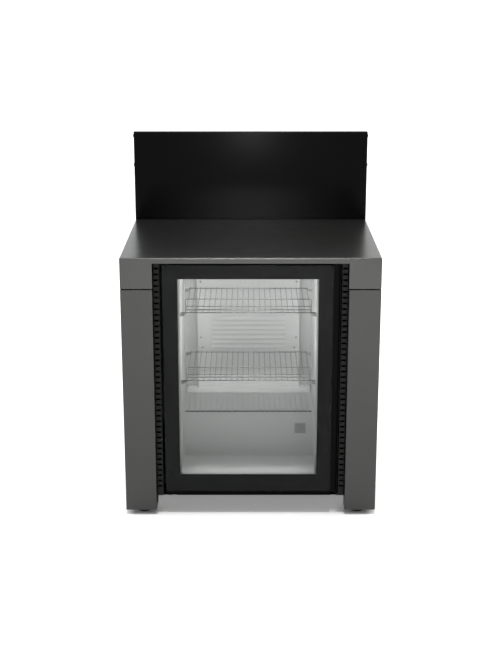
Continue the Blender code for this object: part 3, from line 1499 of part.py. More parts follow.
gasket_inner = GASKET_OUTSET - GASKET_WIDTH
gasket = prism(
    "door_gasket",
    [
        rectangle(
            REVEAL_LEFT_X - GASKET_OUTSET,
            REVEAL_RIGHT_X + GASKET_OUTSET,
            REVEAL_LOW - GASKET_OUTSET,
            REVEAL_HIGH + GASKET_OUTSET,
        ),
        rectangle(
            REVEAL_LEFT_X - gasket_inner,
            REVEAL_RIGHT_X + gasket_inner,
            REVEAL_LOW - gasket_inner,
            REVEAL_HIGH + gasket_inner,
        ),
    ],
    "Y",
    at(DOOR_REAR + CLEARANCE),
    at(HOUSING_FRONT - CLEARANCE),
)
hang(finish(gasket, SOFT_BLACK, 0.7), door_axis)

grip_left = GLASS_RIGHT + CLEARANCE + GRIP_WALL / 2
grip_right = GLASS_RIGHT + CLEARANCE + GRIP_WIDTH - GRIP_WALL / 2
grip_rear = DOOR_FRONT + GRIP_DEPTH - GRIP_WALL / 2
grip = prism(
    "door_grip_profile",
    [sheet(
        [
            (grip_left, at(FRAME_FACE)),
            (grip_left, at(grip_rear)),
            (grip_right, at(grip_rear)),
            (grip_right, at(DOOR_FRONT)),
        ],
        GRIP_WALL,
        SHEET_BEND,
    )],
    "Z",
    DOOR_BOTTOM,
    DOOR_TOP,
)
hang(finish(grip, SOFT_BLACK, 0.4, 0.2), door_axis)

# Round faces are shaded smooth, and edges sharper than 40 degrees stay crisp
for obj in parts.objects:
    if obj.type == "MESH":
        obj.data.shade_smooth()
        obj.data.set_sharp_from_angle(angle=math.radians(40))
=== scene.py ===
"""Dresses the outdoor fridge cabinet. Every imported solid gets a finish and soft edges. New surfaces add
round wire racks, turned feet and studs, the door seal, the rounded edge of the hump, the sill under the
air cover, flanges behind the worktop's seam, and screws. A pale floor, soft light and the camera follow.
"""

import math

import bmesh
import bpy
import numpy as np
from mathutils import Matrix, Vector


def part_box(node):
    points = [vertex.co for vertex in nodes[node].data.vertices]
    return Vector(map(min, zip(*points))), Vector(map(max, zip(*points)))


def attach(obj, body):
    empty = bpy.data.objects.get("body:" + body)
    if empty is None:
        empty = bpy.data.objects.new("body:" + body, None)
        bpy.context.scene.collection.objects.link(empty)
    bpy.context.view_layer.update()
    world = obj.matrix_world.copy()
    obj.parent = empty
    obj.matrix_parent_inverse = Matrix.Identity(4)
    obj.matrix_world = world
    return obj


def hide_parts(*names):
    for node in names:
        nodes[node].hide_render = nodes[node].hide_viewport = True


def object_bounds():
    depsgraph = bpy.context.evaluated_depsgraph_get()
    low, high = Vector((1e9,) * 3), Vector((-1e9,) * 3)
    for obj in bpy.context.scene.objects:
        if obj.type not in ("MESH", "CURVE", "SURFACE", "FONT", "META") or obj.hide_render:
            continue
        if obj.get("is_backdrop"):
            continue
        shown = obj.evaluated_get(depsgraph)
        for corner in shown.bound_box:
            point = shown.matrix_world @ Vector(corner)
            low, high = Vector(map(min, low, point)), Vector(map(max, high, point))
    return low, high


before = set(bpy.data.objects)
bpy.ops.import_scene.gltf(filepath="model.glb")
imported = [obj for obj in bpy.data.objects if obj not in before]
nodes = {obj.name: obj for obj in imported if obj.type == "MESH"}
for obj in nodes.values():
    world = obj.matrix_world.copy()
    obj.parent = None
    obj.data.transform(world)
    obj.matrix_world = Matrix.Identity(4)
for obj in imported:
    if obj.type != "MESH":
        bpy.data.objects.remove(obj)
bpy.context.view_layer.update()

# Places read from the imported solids
COVER_DEPTH = 0.040
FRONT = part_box("worktop")[0].y
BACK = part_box("worktop")[1].y
LINER_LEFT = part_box("left_front_shelf_standard")[0].x
LINER_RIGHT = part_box("right_front_shelf_standard")[1].x
FRIDGE_MIDDLE = (LINER_LEFT + LINER_RIGHT) / 2
COVER_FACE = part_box("rear_air_cover")[1].y - COVER_DEPTH

# Painted shade on the floor, from the middle plane and from the worktop's front and back edges
SHADE_SIDES = (0.40, 0.43)
SHADE_FRONT = (0.164, 0.172)
SHADE_REAR = 0.04
MOUTH_START = (-0.15, -0.05)
MOUTH_END = 0.12

# Pitch of the small lamps behind the fridge's light strip
LAMP_PITCH = 0.025


def in_fridge(across, depth, height):
    """A point given from the fridge's middle plane, from the worktop's front edge and from the floor."""
    return (FRIDGE_MIDDLE + across, FRONT + depth, height)


def placed(name, data):
    """A new object that holds data, linked to the scene."""
    made = bpy.data.objects.new(name, data)
    bpy.context.scene.collection.objects.link(made)
    return made


# Node trees


class Signal:
    """An output socket of a node tree. Arithmetic on it adds Math nodes to that tree."""

    def __init__(self, tree, socket):
        self.tree = tree
        self.socket = socket

    def maths(self, operation, first, second):
        return self.tree.add("ShaderNodeMath", {"operation": operation}, {0: first, 1: second})

    def __add__(self, other):
        return self.maths("ADD", self, other)

    def __radd__(self, other):
        return self.maths("ADD", other, self)

    def __sub__(self, other):
        return self.maths("SUBTRACT", self, other)

    def __rsub__(self, other):
        return self.maths("SUBTRACT", other, self)

    def __mul__(self, other):
        return self.maths("MULTIPLY", self, other)

    def __rmul__(self, other):
        return self.maths("MULTIPLY", other, self)

    def __pow__(self, other):
        return self.maths("POWER", self, other)


class Tree:
    """A node tree, with the few patterns that the finishes share."""

    def __init__(self, tree):
        self.tree = tree
        self.tree.nodes.clear()

    def add(self, kind, settings, sockets, out=0):
        """A node of this kind: its settings first, then the values or links of its sockets."""
        node = self.tree.nodes.new(kind)
        for name, value in settings.items():
            setattr(node, name, value)
        for name, value in sockets.items():
            if isinstance(value, Signal):
                self.tree.links.new(value.socket, node.inputs[name])
            else:
                node.inputs[name].default_value = value
        return Signal(self, node.outputs[out]) if node.outputs else None

    def place(self, stretch=(1.0, 1.0, 1.0)):
        """Object coordinates in metres, each axis multiplied by stretch."""
        where = self.add("ShaderNodeTexCoord", {}, {}, "Object")
        return self.add("ShaderNodeMapping", {}, {"Vector": where, "Scale": stretch})

    def noise(self, where, scale, detail=2.0, roughness=0.5):
        return self.add(
            "ShaderNodeTexNoise",
            {},
            {"Vector": where, "Scale": scale, "Detail": detail, "Roughness": roughness},
        )

    def cells(self, where, scale, out="Distance"):
        return self.add("ShaderNodeTexVoronoi", {}, {"Vector": where, "Scale": scale}, out)

    def axis(self, where, name):
        return self.add("ShaderNodeSeparateXYZ", {}, {0: where}, name)

    def ease(self, value, low, high):
        """0 below low, 1 above high and a smooth step between them."""
        return self.add(
            "ShaderNodeMapRange",
            {"interpolation_type": "SMOOTHSTEP"},
            {"Value": value, "From Min": low, "From Max": high},
        )

    def blend(self, share, first, second):
        """first where share is 0, second where it is 1."""
        return self.add(
            "ShaderNodeMix",
            {"data_type": "RGBA"},
            {0: share, 6: colour(first), 7: colour(second)},
            2,
        )

    def relief(self, height, strength, distance):
        return self.add(
            "ShaderNodeBump",
            {},
            {"Height": height, "Strength": strength, "Distance": distance},
        )

    def solid(self, sockets):
        return self.add("ShaderNodeBsdfPrincipled", {}, sockets)


def colour(value):
    return value if isinstance(value, Signal) else (*value, 1.0)


def material(name):
    made = bpy.data.materials.new(name)
    made.use_nodes = True
    return made, Tree(made.node_tree)


def show(tree, shader):
    tree.add("ShaderNodeOutputMaterial", {}, {"Surface": shader})


# Finishes


def powder_coat(name, dark, light, gloss, shine, grain_size, flake=0.0):
    """Baked powder: a fine grain lifts and dulls the surface, and the tone drifts slowly over the sheet.
    flake is the share of metal in it.
    """
    made, tree = material(name)
    where = tree.place()
    grain = tree.noise(where, scale=1.0 / grain_size, detail=3.0, roughness=0.6)
    drift = tree.noise(where, scale=2.6)
    peel = tree.noise(where, scale=240.0, detail=1.0)
    tone = 0.65 * tree.ease(grain, low=0.3, high=0.7) + 0.35 * drift
    show(tree, tree.solid({
        "Base Color": tree.blend(tone, dark, light),
        "Roughness": gloss + 0.10 * (grain - 0.5) + 0.05 * (drift - 0.5),
        "Metallic": flake,
        "Specular IOR Level": shine,
        "Normal": tree.relief(grain + 0.8 * peel, strength=0.10, distance=0.00008),
    }))
    return made


def fired_enamel():
    """Black enamel fired on the back of the glass: as smooth as the glass, with faint print bands and a
    slow drift in gloss.
    """
    made, tree = material("fired_enamel")
    bands = tree.noise(tree.place(stretch=(6.0, 6.0, 300.0)), scale=1.0)
    drift = tree.noise(tree.place(), scale=6.0)
    tone = 0.5 * bands + 0.5 * drift
    show(tree, tree.solid({
        "Base Color": tree.blend(tone, (0.0144, 0.0147, 0.0148), (0.0175, 0.0178, 0.0180)),
        "Roughness": 0.05 + 0.06 * drift,
        "Specular IOR Level": 0.072,
    }))
    return made


def clear_pane():
    """Coated float glass seen as a thin sheet: it hardly reflects head on and reflects most at a grazing
    view, by the fifth power of the turn away from head on, and lets the rest through a little greyed.
    Haze dulls it in clouds.
    """
    made, tree = material("clear_pane")
    facing = tree.add("ShaderNodeLayerWeight", {}, {"Blend": 0.5}, "Facing")
    haze = tree.ease(tree.noise(tree.place(), scale=5.0, detail=3.0), low=0.35, high=0.75)
    mirror = tree.solid({
        "Base Color": (0.92, 0.95, 0.95, 1.0),
        "Metallic": 1.0,
        "Roughness": 0.015 + 0.03 * haze,
    })
    through = tree.add("ShaderNodeBsdfTransparent", {}, {"Color": (0.895, 0.898, 0.896, 1.0)})
    gloss = 0.90 * facing ** 5.0
    show(tree, tree.add("ShaderNodeMixShader", {}, {0: gloss, 1: through, 2: mirror}))
    return made


def moulded(name, dark, light, gloss, grain_size, lift, shine=0.5):
    """Moulded plastic: a leathery spark-eroded grain, with flow clouds in its tone."""
    made, tree = material(name)
    where = tree.place()
    pits = tree.cells(where, scale=1.0 / grain_size)
    cloud = tree.noise(where, scale=14.0, detail=3.0)
    show(tree, tree.solid({
        "Base Color": tree.blend(tree.ease(cloud, low=0.3, high=0.7), dark, light),
        "Roughness": gloss + 0.10 * (cloud - 0.5) + 0.08 * (pits - 0.4),
        "Specular IOR Level": shine,
        "Normal": tree.relief(pits, strength=lift, distance=0.00015),
    }))
    return made


def drawn_metal(name, dark, light, gloss, scale, lift=0.08, stretch=(1.0, 1.0, 1.0)):
    """Bright metal with fine drawing lines, longer along an axis with a small stretch, and a slow patchy
    tarnish.
    """
    made, tree = material(name)
    lines = tree.noise(tree.place(stretch), scale, detail=3.0, roughness=0.65)
    tarnish = tree.noise(tree.place(), scale=18.0, detail=3.0)
    show(tree, tree.solid({
        "Base Color": tree.blend(0.6 * lines + 0.4 * tarnish, dark, light),
        "Metallic": 1.0,
        "Roughness": gloss + 0.14 * (lines - 0.5) + 0.10 * (tarnish - 0.5),
        "Normal": tree.relief(lines, strength=lift, distance=0.0001),
    }))
    return made


def galvanised():
    """Zinc with its spangle: each crystal has its own grey and its own gloss."""
    made, tree = material("galvanised")
    where = tree.place()
    crystal = tree.axis(tree.cells(where, scale=110.0, out="Color"), "X")
    bloom = tree.noise(where, scale=30.0, detail=3.0)
    tone = 0.7 * crystal + 0.3 * bloom
    show(tree, tree.solid({
        "Base Color": tree.blend(tone, (0.34, 0.35, 0.36), (0.58, 0.59, 0.60)),
        "Metallic": 0.9,
        "Roughness": 0.30 + 0.16 * crystal + 0.08 * bloom,
        "Normal": tree.relief(crystal, strength=0.05, distance=0.0001),
    }))
    return made


def liner_plastic():
    """Vacuum-formed white sheet: a faint pebble, and gloss that wanders where the sheet was drawn deeper."""
    made, tree = material("liner_plastic")
    where = tree.place()
    pebble = tree.noise(where, scale=700.0)
    drawn = tree.noise(where, scale=4.0)
    tone = 0.5 * pebble + 0.5 * drawn
    show(tree, tree.solid({
        "Base Color": tree.blend(tone, (0.79, 0.79, 0.788), (0.86, 0.86, 0.857)),
        "Roughness": 0.34 + 0.08 * drawn + 0.06 * pebble,
        "Normal": tree.relief(pebble, strength=0.10, distance=0.0001),
    }))
    return made


def rigid_foam():
    """Blown foam: open cells, yellowed in patches."""
    made, tree = material("rigid_foam")
    where = tree.place()
    cell = tree.cells(where, scale=420.0)
    patch = tree.noise(where, scale=9.0, detail=3.0)
    tone = 0.6 * patch + 0.4 * cell
    show(tree, tree.solid({
        "Base Color": tree.blend(tone, (0.58, 0.44, 0.22), (0.80, 0.70, 0.46)),
        "Roughness": 0.82 + 0.12 * cell,
        "Normal": tree.relief(cell, strength=0.5, distance=0.0006),
    }))
    return made


def frosted_diffuser():
    """Lit frosted strip: the light is a little stronger over each of the small lamps behind it."""
    made, tree = material("frosted_diffuser")
    where = tree.place()
    turn = tree.axis(where, "X") * (math.tau / LAMP_PITCH)
    lamps = 0.5 + 0.5 * tree.add("ShaderNodeMath", {"operation": "COSINE"}, {0: turn})
    frost = tree.noise(where, scale=900.0)
    show(tree, tree.solid({
        "Base Color": tree.blend(frost, (0.84, 0.85, 0.85), (0.94, 0.94, 0.93)),
        "Roughness": 0.42 + 0.15 * frost,
        "Emission Color": tree.blend(lamps, (0.86, 0.90, 0.95), (1.0, 1.0, 0.98)),
        "Emission Strength": 1.0,
        "Normal": tree.relief(frost, strength=0.1, distance=0.0001),
    }))
    return made


def pale_floor():
    """Seamless pale floor with the faintest mottling and a faint glow. A shadow is painted under the cabinet:
    it is painted black where the shade is closed, and its glow is faded out at the mouth of that shade.
    """
    made, tree = material("pale_floor")
    where = tree.place()
    mottle = tree.noise(where, scale=1.3, detail=3.0)
    x = tree.axis(where, "X")
    y = tree.axis(where, "Y")
    # Masks of the painted shadow: black where the shade is closed, glow faded out at its mouth
    inside = 1.0 - tree.ease(x * x, SHADE_SIDES[0] ** 2, SHADE_SIDES[1] ** 2)
    shade_start = tree.ease(y, FRONT + SHADE_FRONT[0], FRONT + SHADE_FRONT[1])
    shade = inside * shade_start * (1.0 - tree.ease(y, BACK - SHADE_REAR, BACK))
    mouth_start = tree.ease(y, FRONT + MOUTH_START[0], FRONT + MOUTH_START[1])
    mouth = inside * mouth_start * (1.0 - tree.ease(y, FRONT, FRONT + MOUTH_END))
    pale = tree.blend(mottle, (0.86, 0.86, 0.86), (0.88, 0.88, 0.88))
    glow = tree.blend(mottle, (0.98, 0.98, 0.98), (1.0, 1.0, 1.0))
    show(tree, tree.solid({
        "Base Color": tree.blend(shade, pale, (0.01, 0.01, 0.01)),
        "Roughness": 0.75 + 0.1 * mottle,
        "Specular IOR Level": 0.1,
        "Emission Color": tree.blend(1.0 - (1.0 - shade) * (1.0 - mouth), glow, (0.0, 0.0, 0.0)),
        "Emission Strength": 0.245,
    }))
    return made


graphite = powder_coat(
    "graphite_coat", dark=(0.046, 0.047, 0.0455), light=(0.060, 0.061, 0.0585),
    gloss=0.34, shine=0.5, grain_size=0.0007, flake=0.9,
)
worktop_coat = powder_coat(
    "worktop_coat", dark=(0.0437, 0.0446, 0.0432), light=(0.057, 0.058, 0.0556),
    gloss=0.28, shine=0.5, grain_size=0.0007, flake=0.8,
)
splash_black = powder_coat(
    "splash_coat", dark=(0.0009, 0.0009, 0.0011), light=(0.0014, 0.0014, 0.0016),
    gloss=0.18, shine=0.032, grain_size=0.0011,
)
strip_black = powder_coat(
    "strip_coat", dark=(0.0050, 0.0052, 0.0052), light=(0.0085, 0.0088, 0.0088),
    gloss=0.42, shine=0.12, grain_size=0.0007,
)
frame_black = powder_coat(
    "frame_coat", dark=(0.0025, 0.0025, 0.0027), light=(0.0045, 0.0045, 0.0047),
    gloss=0.50, shine=0.08, grain_size=0.0008,
)
housing_black = powder_coat(
    "housing_coat", dark=(0.008, 0.008, 0.0085), light=(0.013, 0.013, 0.0135),
    gloss=0.46, shine=0.4, grain_size=0.0009,
)
grip_black = powder_coat(
    "grip_coat", dark=(0.0018, 0.0018, 0.0020), light=(0.0030, 0.0030, 0.0033),
    gloss=0.40, shine=0.06, grain_size=0.0006,
)
compressor_black = powder_coat(
    "compressor_paint", dark=(0.006, 0.006, 0.006), light=(0.011, 0.011, 0.011),
    gloss=0.34, shine=0.5, grain_size=0.002,
)
pane = clear_pane()
enamel = fired_enamel()
black_plastic = moulded(
    "black_plastic", dark=(0.008, 0.008, 0.0085), light=(0.014, 0.014, 0.0145),
    gloss=0.48, grain_size=0.0006, lift=0.12,
)
door_plastic = moulded(
    "door_plastic", dark=(0.0012, 0.0012, 0.0013), light=(0.0024, 0.0024, 0.0026),
    gloss=0.55, grain_size=0.0006, lift=0.12, shine=0.02,
)
grey_plastic = moulded(
    "grey_plastic", dark=(0.50, 0.50, 0.495), light=(0.58, 0.58, 0.575),
    gloss=0.46, grain_size=0.0006, lift=0.12,
)
rocker_plastic = moulded(
    "rocker_plastic", dark=(0.43, 0.43, 0.426), light=(0.50, 0.50, 0.495),
    gloss=0.42, grain_size=0.0005, lift=0.10,
)
clip_plastic = moulded(
    "clip_plastic", dark=(0.50, 0.50, 0.49), light=(0.62, 0.62, 0.61),
    gloss=0.40, grain_size=0.0005, lift=0.10,
)
plug_plastic = moulded(
    "plug_plastic", dark=(0.10, 0.10, 0.10), light=(0.17, 0.17, 0.17),
    gloss=0.44, grain_size=0.0005, lift=0.10,
)
ivory_plastic = moulded(
    "ivory_plastic", dark=(0.58, 0.57, 0.53), light=(0.70, 0.69, 0.65),
    gloss=0.36, grain_size=0.0007, lift=0.06,
)
foot_rubber = moulded(
    "foot_rubber", dark=(0.006, 0.006, 0.006), light=(0.012, 0.012, 0.012),
    gloss=0.62, grain_size=0.0009, lift=0.25, shine=0.08,
)
seal_rubber = moulded(
    "seal_rubber", dark=(0.010, 0.010, 0.0105), light=(0.018, 0.018, 0.0185),
    gloss=0.58, grain_size=0.0012, lift=0.10,
)
liner_white = liner_plastic()
foam = rigid_foam()
diffuser = frosted_diffuser()
zinc = galvanised()
wire_plate = drawn_metal(
    "wire_plate", dark=(0.42, 0.42, 0.417), light=(0.58, 0.58, 0.575),
    gloss=0.20, scale=900.0, lift=0.01,
)
# A darker copy of the wire plating: painted shade, a dark line along the hump's front wire
shaded_wire_plate = drawn_metal(
    "shaded_wire_plate", dark=(0.10, 0.10, 0.10), light=(0.16, 0.16, 0.16),
    gloss=0.34, scale=900.0, lift=0.01,
)
# A lighter copy of the wire plating: painted light on the wires of the hump's mat
lit_mat_plate = drawn_metal(
    "lit_mat_plate", dark=(0.70, 0.70, 0.695), light=(0.84, 0.84, 0.835),
    gloss=0.34, scale=900.0, lift=0.01,
)
fin_metal = drawn_metal(
    "fin_metal", dark=(0.55, 0.55, 0.55), light=(0.74, 0.74, 0.74),
    gloss=0.30, scale=2200.0, stretch=(1.0, 1.0, 0.03),
)
spacer_metal = drawn_metal(
    "spacer_metal", dark=(0.48, 0.48, 0.48), light=(0.66, 0.66, 0.66),
    gloss=0.34, scale=1500.0,
)
black_steel = drawn_metal(
    "black_steel", dark=(0.020, 0.020, 0.021), light=(0.042, 0.042, 0.043),
    gloss=0.34, scale=700.0,
)

FINISHES = {
    graphite: ("left_side_column", "right_side_column", "back_panel"),
    worktop_coat: ("worktop",),
    splash_black: ("splash_panel",),
    strip_black: ("left_vent_strip", "right_vent_strip"),
    frame_black: (
        "left_leg_frame", "right_leg_frame", "front_base_rail", "rear_base_rail", "condenser_coil",
        "upper_hinge_bracket", "lower_hinge_bracket",
    ),
    housing_black: ("fridge_housing",),
    grip_black: ("door_grip_profile",),
    compressor_black: ("compressor",),
    pane: ("door_glass_outer", "door_glass_inner"),
    enamel: ("door_glass_border",),
    black_plastic: (
        "condensate_tray", "mains_inlet", "evaporator_fan_motor", "evaporator_fan_rotor",
    ),
    door_plastic: ("door_frame",),
    grey_plastic: ("control_plate",),
    rocker_plastic: ("control_rocker",),
    ivory_plastic: ("upper_hinge_bush", "lower_hinge_bush"),
    liner_white: ("inner_liner", "rear_air_cover"),
    foam: ("foam_insulation",),
    diffuser: ("interior_light",),
    zinc: ("compressor_base_plate",),
    fin_metal: ("evaporator",),
    spacer_metal: ("glazing_spacer",),
}
for coat, names in FINISHES.items():
    for name in names:
        nodes[name].material_slots[0].material = coat
for name, node in nodes.items():
    if name.endswith("_clip"):
        node.material_slots[0].material = clip_plastic
    if name.endswith("_shelf_standard"):
        node.material_slots[0].material = liner_white


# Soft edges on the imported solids
JOIN_DISTANCE = 0.000002
CRISP_ANGLE = math.radians(35)
ROUNDED_ANGLE = math.radians(50)
ROUNDED_SEGMENTS = 2
FLAT_WEIGHT = 80
SOFT_EDGES = {
    "worktop": 0.0004,
    "left_side_column": 0.0004,
    "right_side_column": 0.0004,
    "back_panel": 0.0003,
    "splash_panel": 0.0003,
    "door_glass_outer": 0.0007,
    "door_frame": 0.0006,
    "door_grip_profile": 0.0003,
    "fridge_housing": 0.0003,
    "inner_liner": 0.0003,
    "rear_air_cover": 0.0002,
    "interior_light": 0.0008,
    "control_plate": 0.0006,
    "control_rocker": 0.0005,
    "left_leg_frame": 0.0010,
    "right_leg_frame": 0.0010,
    "front_base_rail": 0.0006,
    "rear_base_rail": 0.0006,
    "upper_hinge_bracket": 0.0003,
    "lower_hinge_bracket": 0.0003,
    "mains_inlet": 0.0008,
    "condensate_tray": 0.0003,
    "compressor_base_plate": 0.0003,
}


def angle_shading():
    """A node group that joins loose triangles, shades them smooth and keeps edges over CRISP_ANGLE crisp."""
    group = bpy.data.node_groups.new("angle_shading", "GeometryNodeTree")
    group.interface.new_socket("Geometry", in_out="INPUT", socket_type="NodeSocketGeometry")
    group.interface.new_socket("Geometry", in_out="OUTPUT", socket_type="NodeSocketGeometry")
    tree = Tree(group)
    start = tree.add("NodeGroupInput", {}, {})
    joined = tree.add("GeometryNodeMergeByDistance", {}, {"Geometry": start, "Distance": JOIN_DISTANCE})
    plain = tree.add("GeometryNodeRemoveAttribute", {}, {"Geometry": joined, "Name": "custom_normal"})
    smooth = tree.add(
        "GeometryNodeSetShadeSmooth",
        {"domain": "FACE"},
        {0: plain, "Shade Smooth": True},
    )
    angle = tree.add("GeometryNodeInputMeshEdgeAngle", {}, {})
    sharp = tree.add(
        "FunctionNodeCompare",
        {"data_type": "FLOAT", "operation": "GREATER_THAN"},
        {0: angle, 1: CRISP_ANGLE},
    )
    crisp = tree.add(
        "GeometryNodeSetShadeSmooth",
        {"domain": "EDGE"},
        {0: smooth, 1: sharp, "Shade Smooth": False},
    )
    tree.add("NodeGroupOutput", {}, {0: crisp})
    return group


SHADING = angle_shading()


def soften(name, width):
    """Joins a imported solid's triangles, rounds its sharp edges by width and lets large faces stay flat."""
    node = nodes[name]
    shading = node.modifiers.new("angle shading", "NODES")
    shading.node_group = SHADING
    if width:
        edge = node.modifiers.new("soft edges", "BEVEL")
        edge.width = width
        edge.segments = ROUNDED_SEGMENTS
        edge.limit_method = "ANGLE"
        edge.angle_limit = ROUNDED_ANGLE
        edge.harden_normals = True
    flat = node.modifiers.new("flat faces", "WEIGHTED_NORMAL")
    flat.mode = "FACE_AREA"
    flat.weight = FLAT_WEIGHT
    flat.keep_sharp = True


for name in nodes:
    soften(name, SOFT_EDGES.get(name, 0.0))


# New surfaces
DOUBLE_DISTANCE = 0.0000005
PIECE_CRISP_ANGLE = math.radians(40)
X = (1.0, 0.0, 0.0)
Y = (0.0, 1.0, 0.0)
Z = (0.0, 0.0, 1.0)
NEG_X = (-1.0, 0.0, 0.0)
NEG_Y = (0.0, -1.0, 0.0)


def unit(rows):
    """Rows divided by their lengths."""
    return rows / np.linalg.norm(rows, axis=-1, keepdims=True)


def sheet_of(points, round_it):
    """Corners and quads of a grid of points; with round_it the last column joins the first."""
    rows, columns = points.shape[:2]
    index = np.arange(rows * columns).reshape(rows, columns)
    right = np.roll(index, -1, axis=1)
    quads = np.stack([index[:-1], right[:-1], right[1:], index[1:]], axis=-1)
    if not round_it:
        quads = quads[:, :-1]
    return points.reshape(-1, 3), quads.reshape(-1, 4)


def mesh_of(name, corners, quads):
    mesh = bpy.data.meshes.new(name)
    mesh.from_pydata(corners.tolist(), [], quads.tolist())
    return mesh


def piece(name, sheets, coat, body, replaced=()):
    """One object from several sheets: doubles merged, faces turned outwards, shaded by angle."""
    starts = np.cumsum([0] + [len(corners) for corners, _ in sheets])
    corners = np.concatenate([corners for corners, _ in sheets])
    quads = np.concatenate([quads + start for (_, quads), start in zip(sheets, starts)])
    mesh = mesh_of(name, corners, quads)
    bm = bmesh.new()
    bm.from_mesh(mesh)
    bmesh.ops.remove_doubles(bm, verts=bm.verts, dist=DOUBLE_DISTANCE)
    bmesh.ops.recalc_face_normals(bm, faces=bm.faces)
    bm.to_mesh(mesh)
    bm.free()
    mesh.shade_smooth()
    mesh.set_sharp_from_angle(angle=PIECE_CRISP_ANGLE)
    made = placed(name, mesh)
    made.data.materials.append(coat)
    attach(made, body)
    if replaced:
        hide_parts(*replaced)
    return made


def rod(path, radius, across, sides=12, cap_steps=4):
    """A round rod: at each point of the path a circle in the plane of across and of the path's direction
    crossed with it. At both ends the radius falls to nothing as the sine of a quarter turn.
    """
    path = np.asarray(path, float)
    across = np.asarray(across, float)
    ahead = unit(path[1] - path[0])
    behind = unit(path[-1] - path[-2])
    turn = np.linspace(0.0, math.pi / 2, cap_steps)
    inset = radius * (1.0 - np.cos(turn))[:, None]
    cap = radius * np.sin(turn)
    middle = np.concatenate([path[0] + inset * ahead, path[1:-1], (path[-1] - inset * behind)[::-1]])
    reach = np.concatenate([cap, np.full(len(path) - 2, radius), cap[::-1]])
    first_runs = np.repeat(ahead[None], cap_steps, 0)
    last_runs = np.repeat(behind[None], cap_steps, 0)
    run = unit(np.concatenate([first_runs, np.gradient(path, axis=0)[1:-1], last_runs]))
    side = np.cross(run, across)
    angle = np.linspace(0.0, math.tau, sides, endpoint=False)[None, :, None]
    ring = np.cos(angle) * across + np.sin(angle) * side[:, None, :]
    return sheet_of(middle[:, None, :] + reach[:, None, None] * ring, True)


def spun(profile, place, axes, sides=40):
    """A turned piece: each (radius, height) of the profile carried round the third axis through place."""
    radius, height = np.asarray(profile, float).T
    first, second, spin = np.asarray(axes, float)
    angle = np.linspace(0.0, math.tau, sides, endpoint=False)
    ring = np.cos(angle)[:, None] * first + np.sin(angle)[:, None] * second
    points = np.asarray(place) + radius[:, None, None] * ring + height[:, None, None] * spin
    return sheet_of(points, True)


def eased(profile, reach, steps=4, largest_share=0.45):
    """A profile whose inner corners are replaced by quadratic curves. A curve leaves each side of its corner
    by reach, or by the largest share of that side where the side is short.
    """
    profile = np.asarray(profile, float)
    share = np.linspace(0.0, 1.0, steps)[:, None, None]
    corner = profile[1:-1]
    back = profile[:-2] - corner
    ahead = profile[2:] - corner
    back_share = np.minimum(reach / np.linalg.norm(back, axis=1, keepdims=True), largest_share)
    ahead_share = np.minimum(reach / np.linalg.norm(ahead, axis=1, keepdims=True), largest_share)
    start = corner + back * back_share
    end = corner + ahead * ahead_share
    curve = (1 - share) ** 2 * start + 2 * share * (1 - share) * corner + share ** 2 * end
    curve = curve.transpose(1, 0, 2).reshape(-1, 2)
    return np.concatenate([profile[:1], curve, profile[-1:]])


def screw_heads(places, axes, radius, height):
    """Pan heads over a disc. With r as a share of the radius the height is 1 - 0.75 r ** 4. A cross slot 0.55
    deep is cut where the nearer of its two arms is under 0.15 away and r is under 0.62, with sloping sides.
    """
    first, second, out = np.asarray(axes, float)
    share = np.concatenate([np.linspace(0.0, 0.94, 14), [1.0, 1.0]])[:, None]
    angle = np.linspace(0.0, math.tau, 48, endpoint=False)[None]
    arm = share * np.minimum(np.abs(np.cos(angle)), np.abs(np.sin(angle)))
    slot = np.clip((0.15 - arm) / 0.05, 0.0, 1.0) * np.clip((0.62 - share) / 0.08, 0.0, 1.0)
    rise = height * (1.0 - 0.75 * share ** 4) - 0.55 * height * slot
    rise[-1] = 0.0
    flat = np.cos(angle)[..., None] * first + np.sin(angle)[..., None] * second
    head = radius * share[..., None] * flat + rise[..., None] * out
    return [sheet_of(np.asarray(place) + head, True) for place in places]


def seal(low, high, width, waist=0.34, lips=0.86, steps=13, corner_steps=7):
    """A door seal in the box from low to high: a bellows profile, waisted as the square of a sine across its
    thickness and drawn in at both lips, carried round a rectangle with round corners.
    """
    share = np.linspace(0.0, 1.0, steps)
    half = width / 2 * (1.0 - waist * np.sin(math.pi * share) ** 2)
    half[[0, -1]] *= lips
    depth = low.y + (high.y - low.y) * share
    offset = np.concatenate([half, -half[::-1]])
    depth = np.concatenate([depth, depth[::-1]])
    quarter = np.linspace(0.0, math.pi / 2, corner_steps)
    angle = np.concatenate([quarter, quarter + math.pi / 2, quarter + math.pi, quarter + 1.5 * math.pi])
    left = low.x + width
    right = high.x - width
    bottom = low.z + width
    top = high.z - width
    middle_x = np.repeat([right, left, left, right], corner_steps)
    middle_z = np.repeat([top, top, bottom, bottom], corner_steps)
    reach = width - width / 2 + offset
    x = middle_x + reach[:, None] * np.cos(angle)
    z = middle_z + reach[:, None] * np.sin(angle)
    y = np.repeat(depth[:, None], len(angle), 1)
    points = np.stack([x, y, z], axis=-1)
    return sheet_of(np.concatenate([points, points[:1]]), True)


def bar_along_x(left, right, profile, middle):
    """A closed section in depth and height carried from left to right. Both ends close on middle."""
    close = np.broadcast_to(middle, profile.shape)
    sections = np.stack([close, profile, profile, close])
    x = np.broadcast_to(np.array([left, left, right, right])[:, None, None], (4, len(profile), 1))
    return sheet_of(np.concatenate([x, sections], axis=-1), True)


def nosing(left, right, near, top, reach, fullness=2.2, steps=12):
    """A rounded edge along X: a quarter of the superellipse |u| ** n + |v| ** n = 1, scaled by reach, from
    the face at near up to the face at top. Its chord closes it.
    """
    angle = np.linspace(0.0, math.pi / 2, steps)
    depth = near + reach * (1.0 - np.cos(angle) ** (2.0 / fullness))
    height = top - reach * (1.0 - np.sin(angle) ** (2.0 / fullness))
    profile = np.stack([depth, height], axis=-1)
    return bar_along_x(left, right, profile, (profile[0] + profile[-1]) / 2)


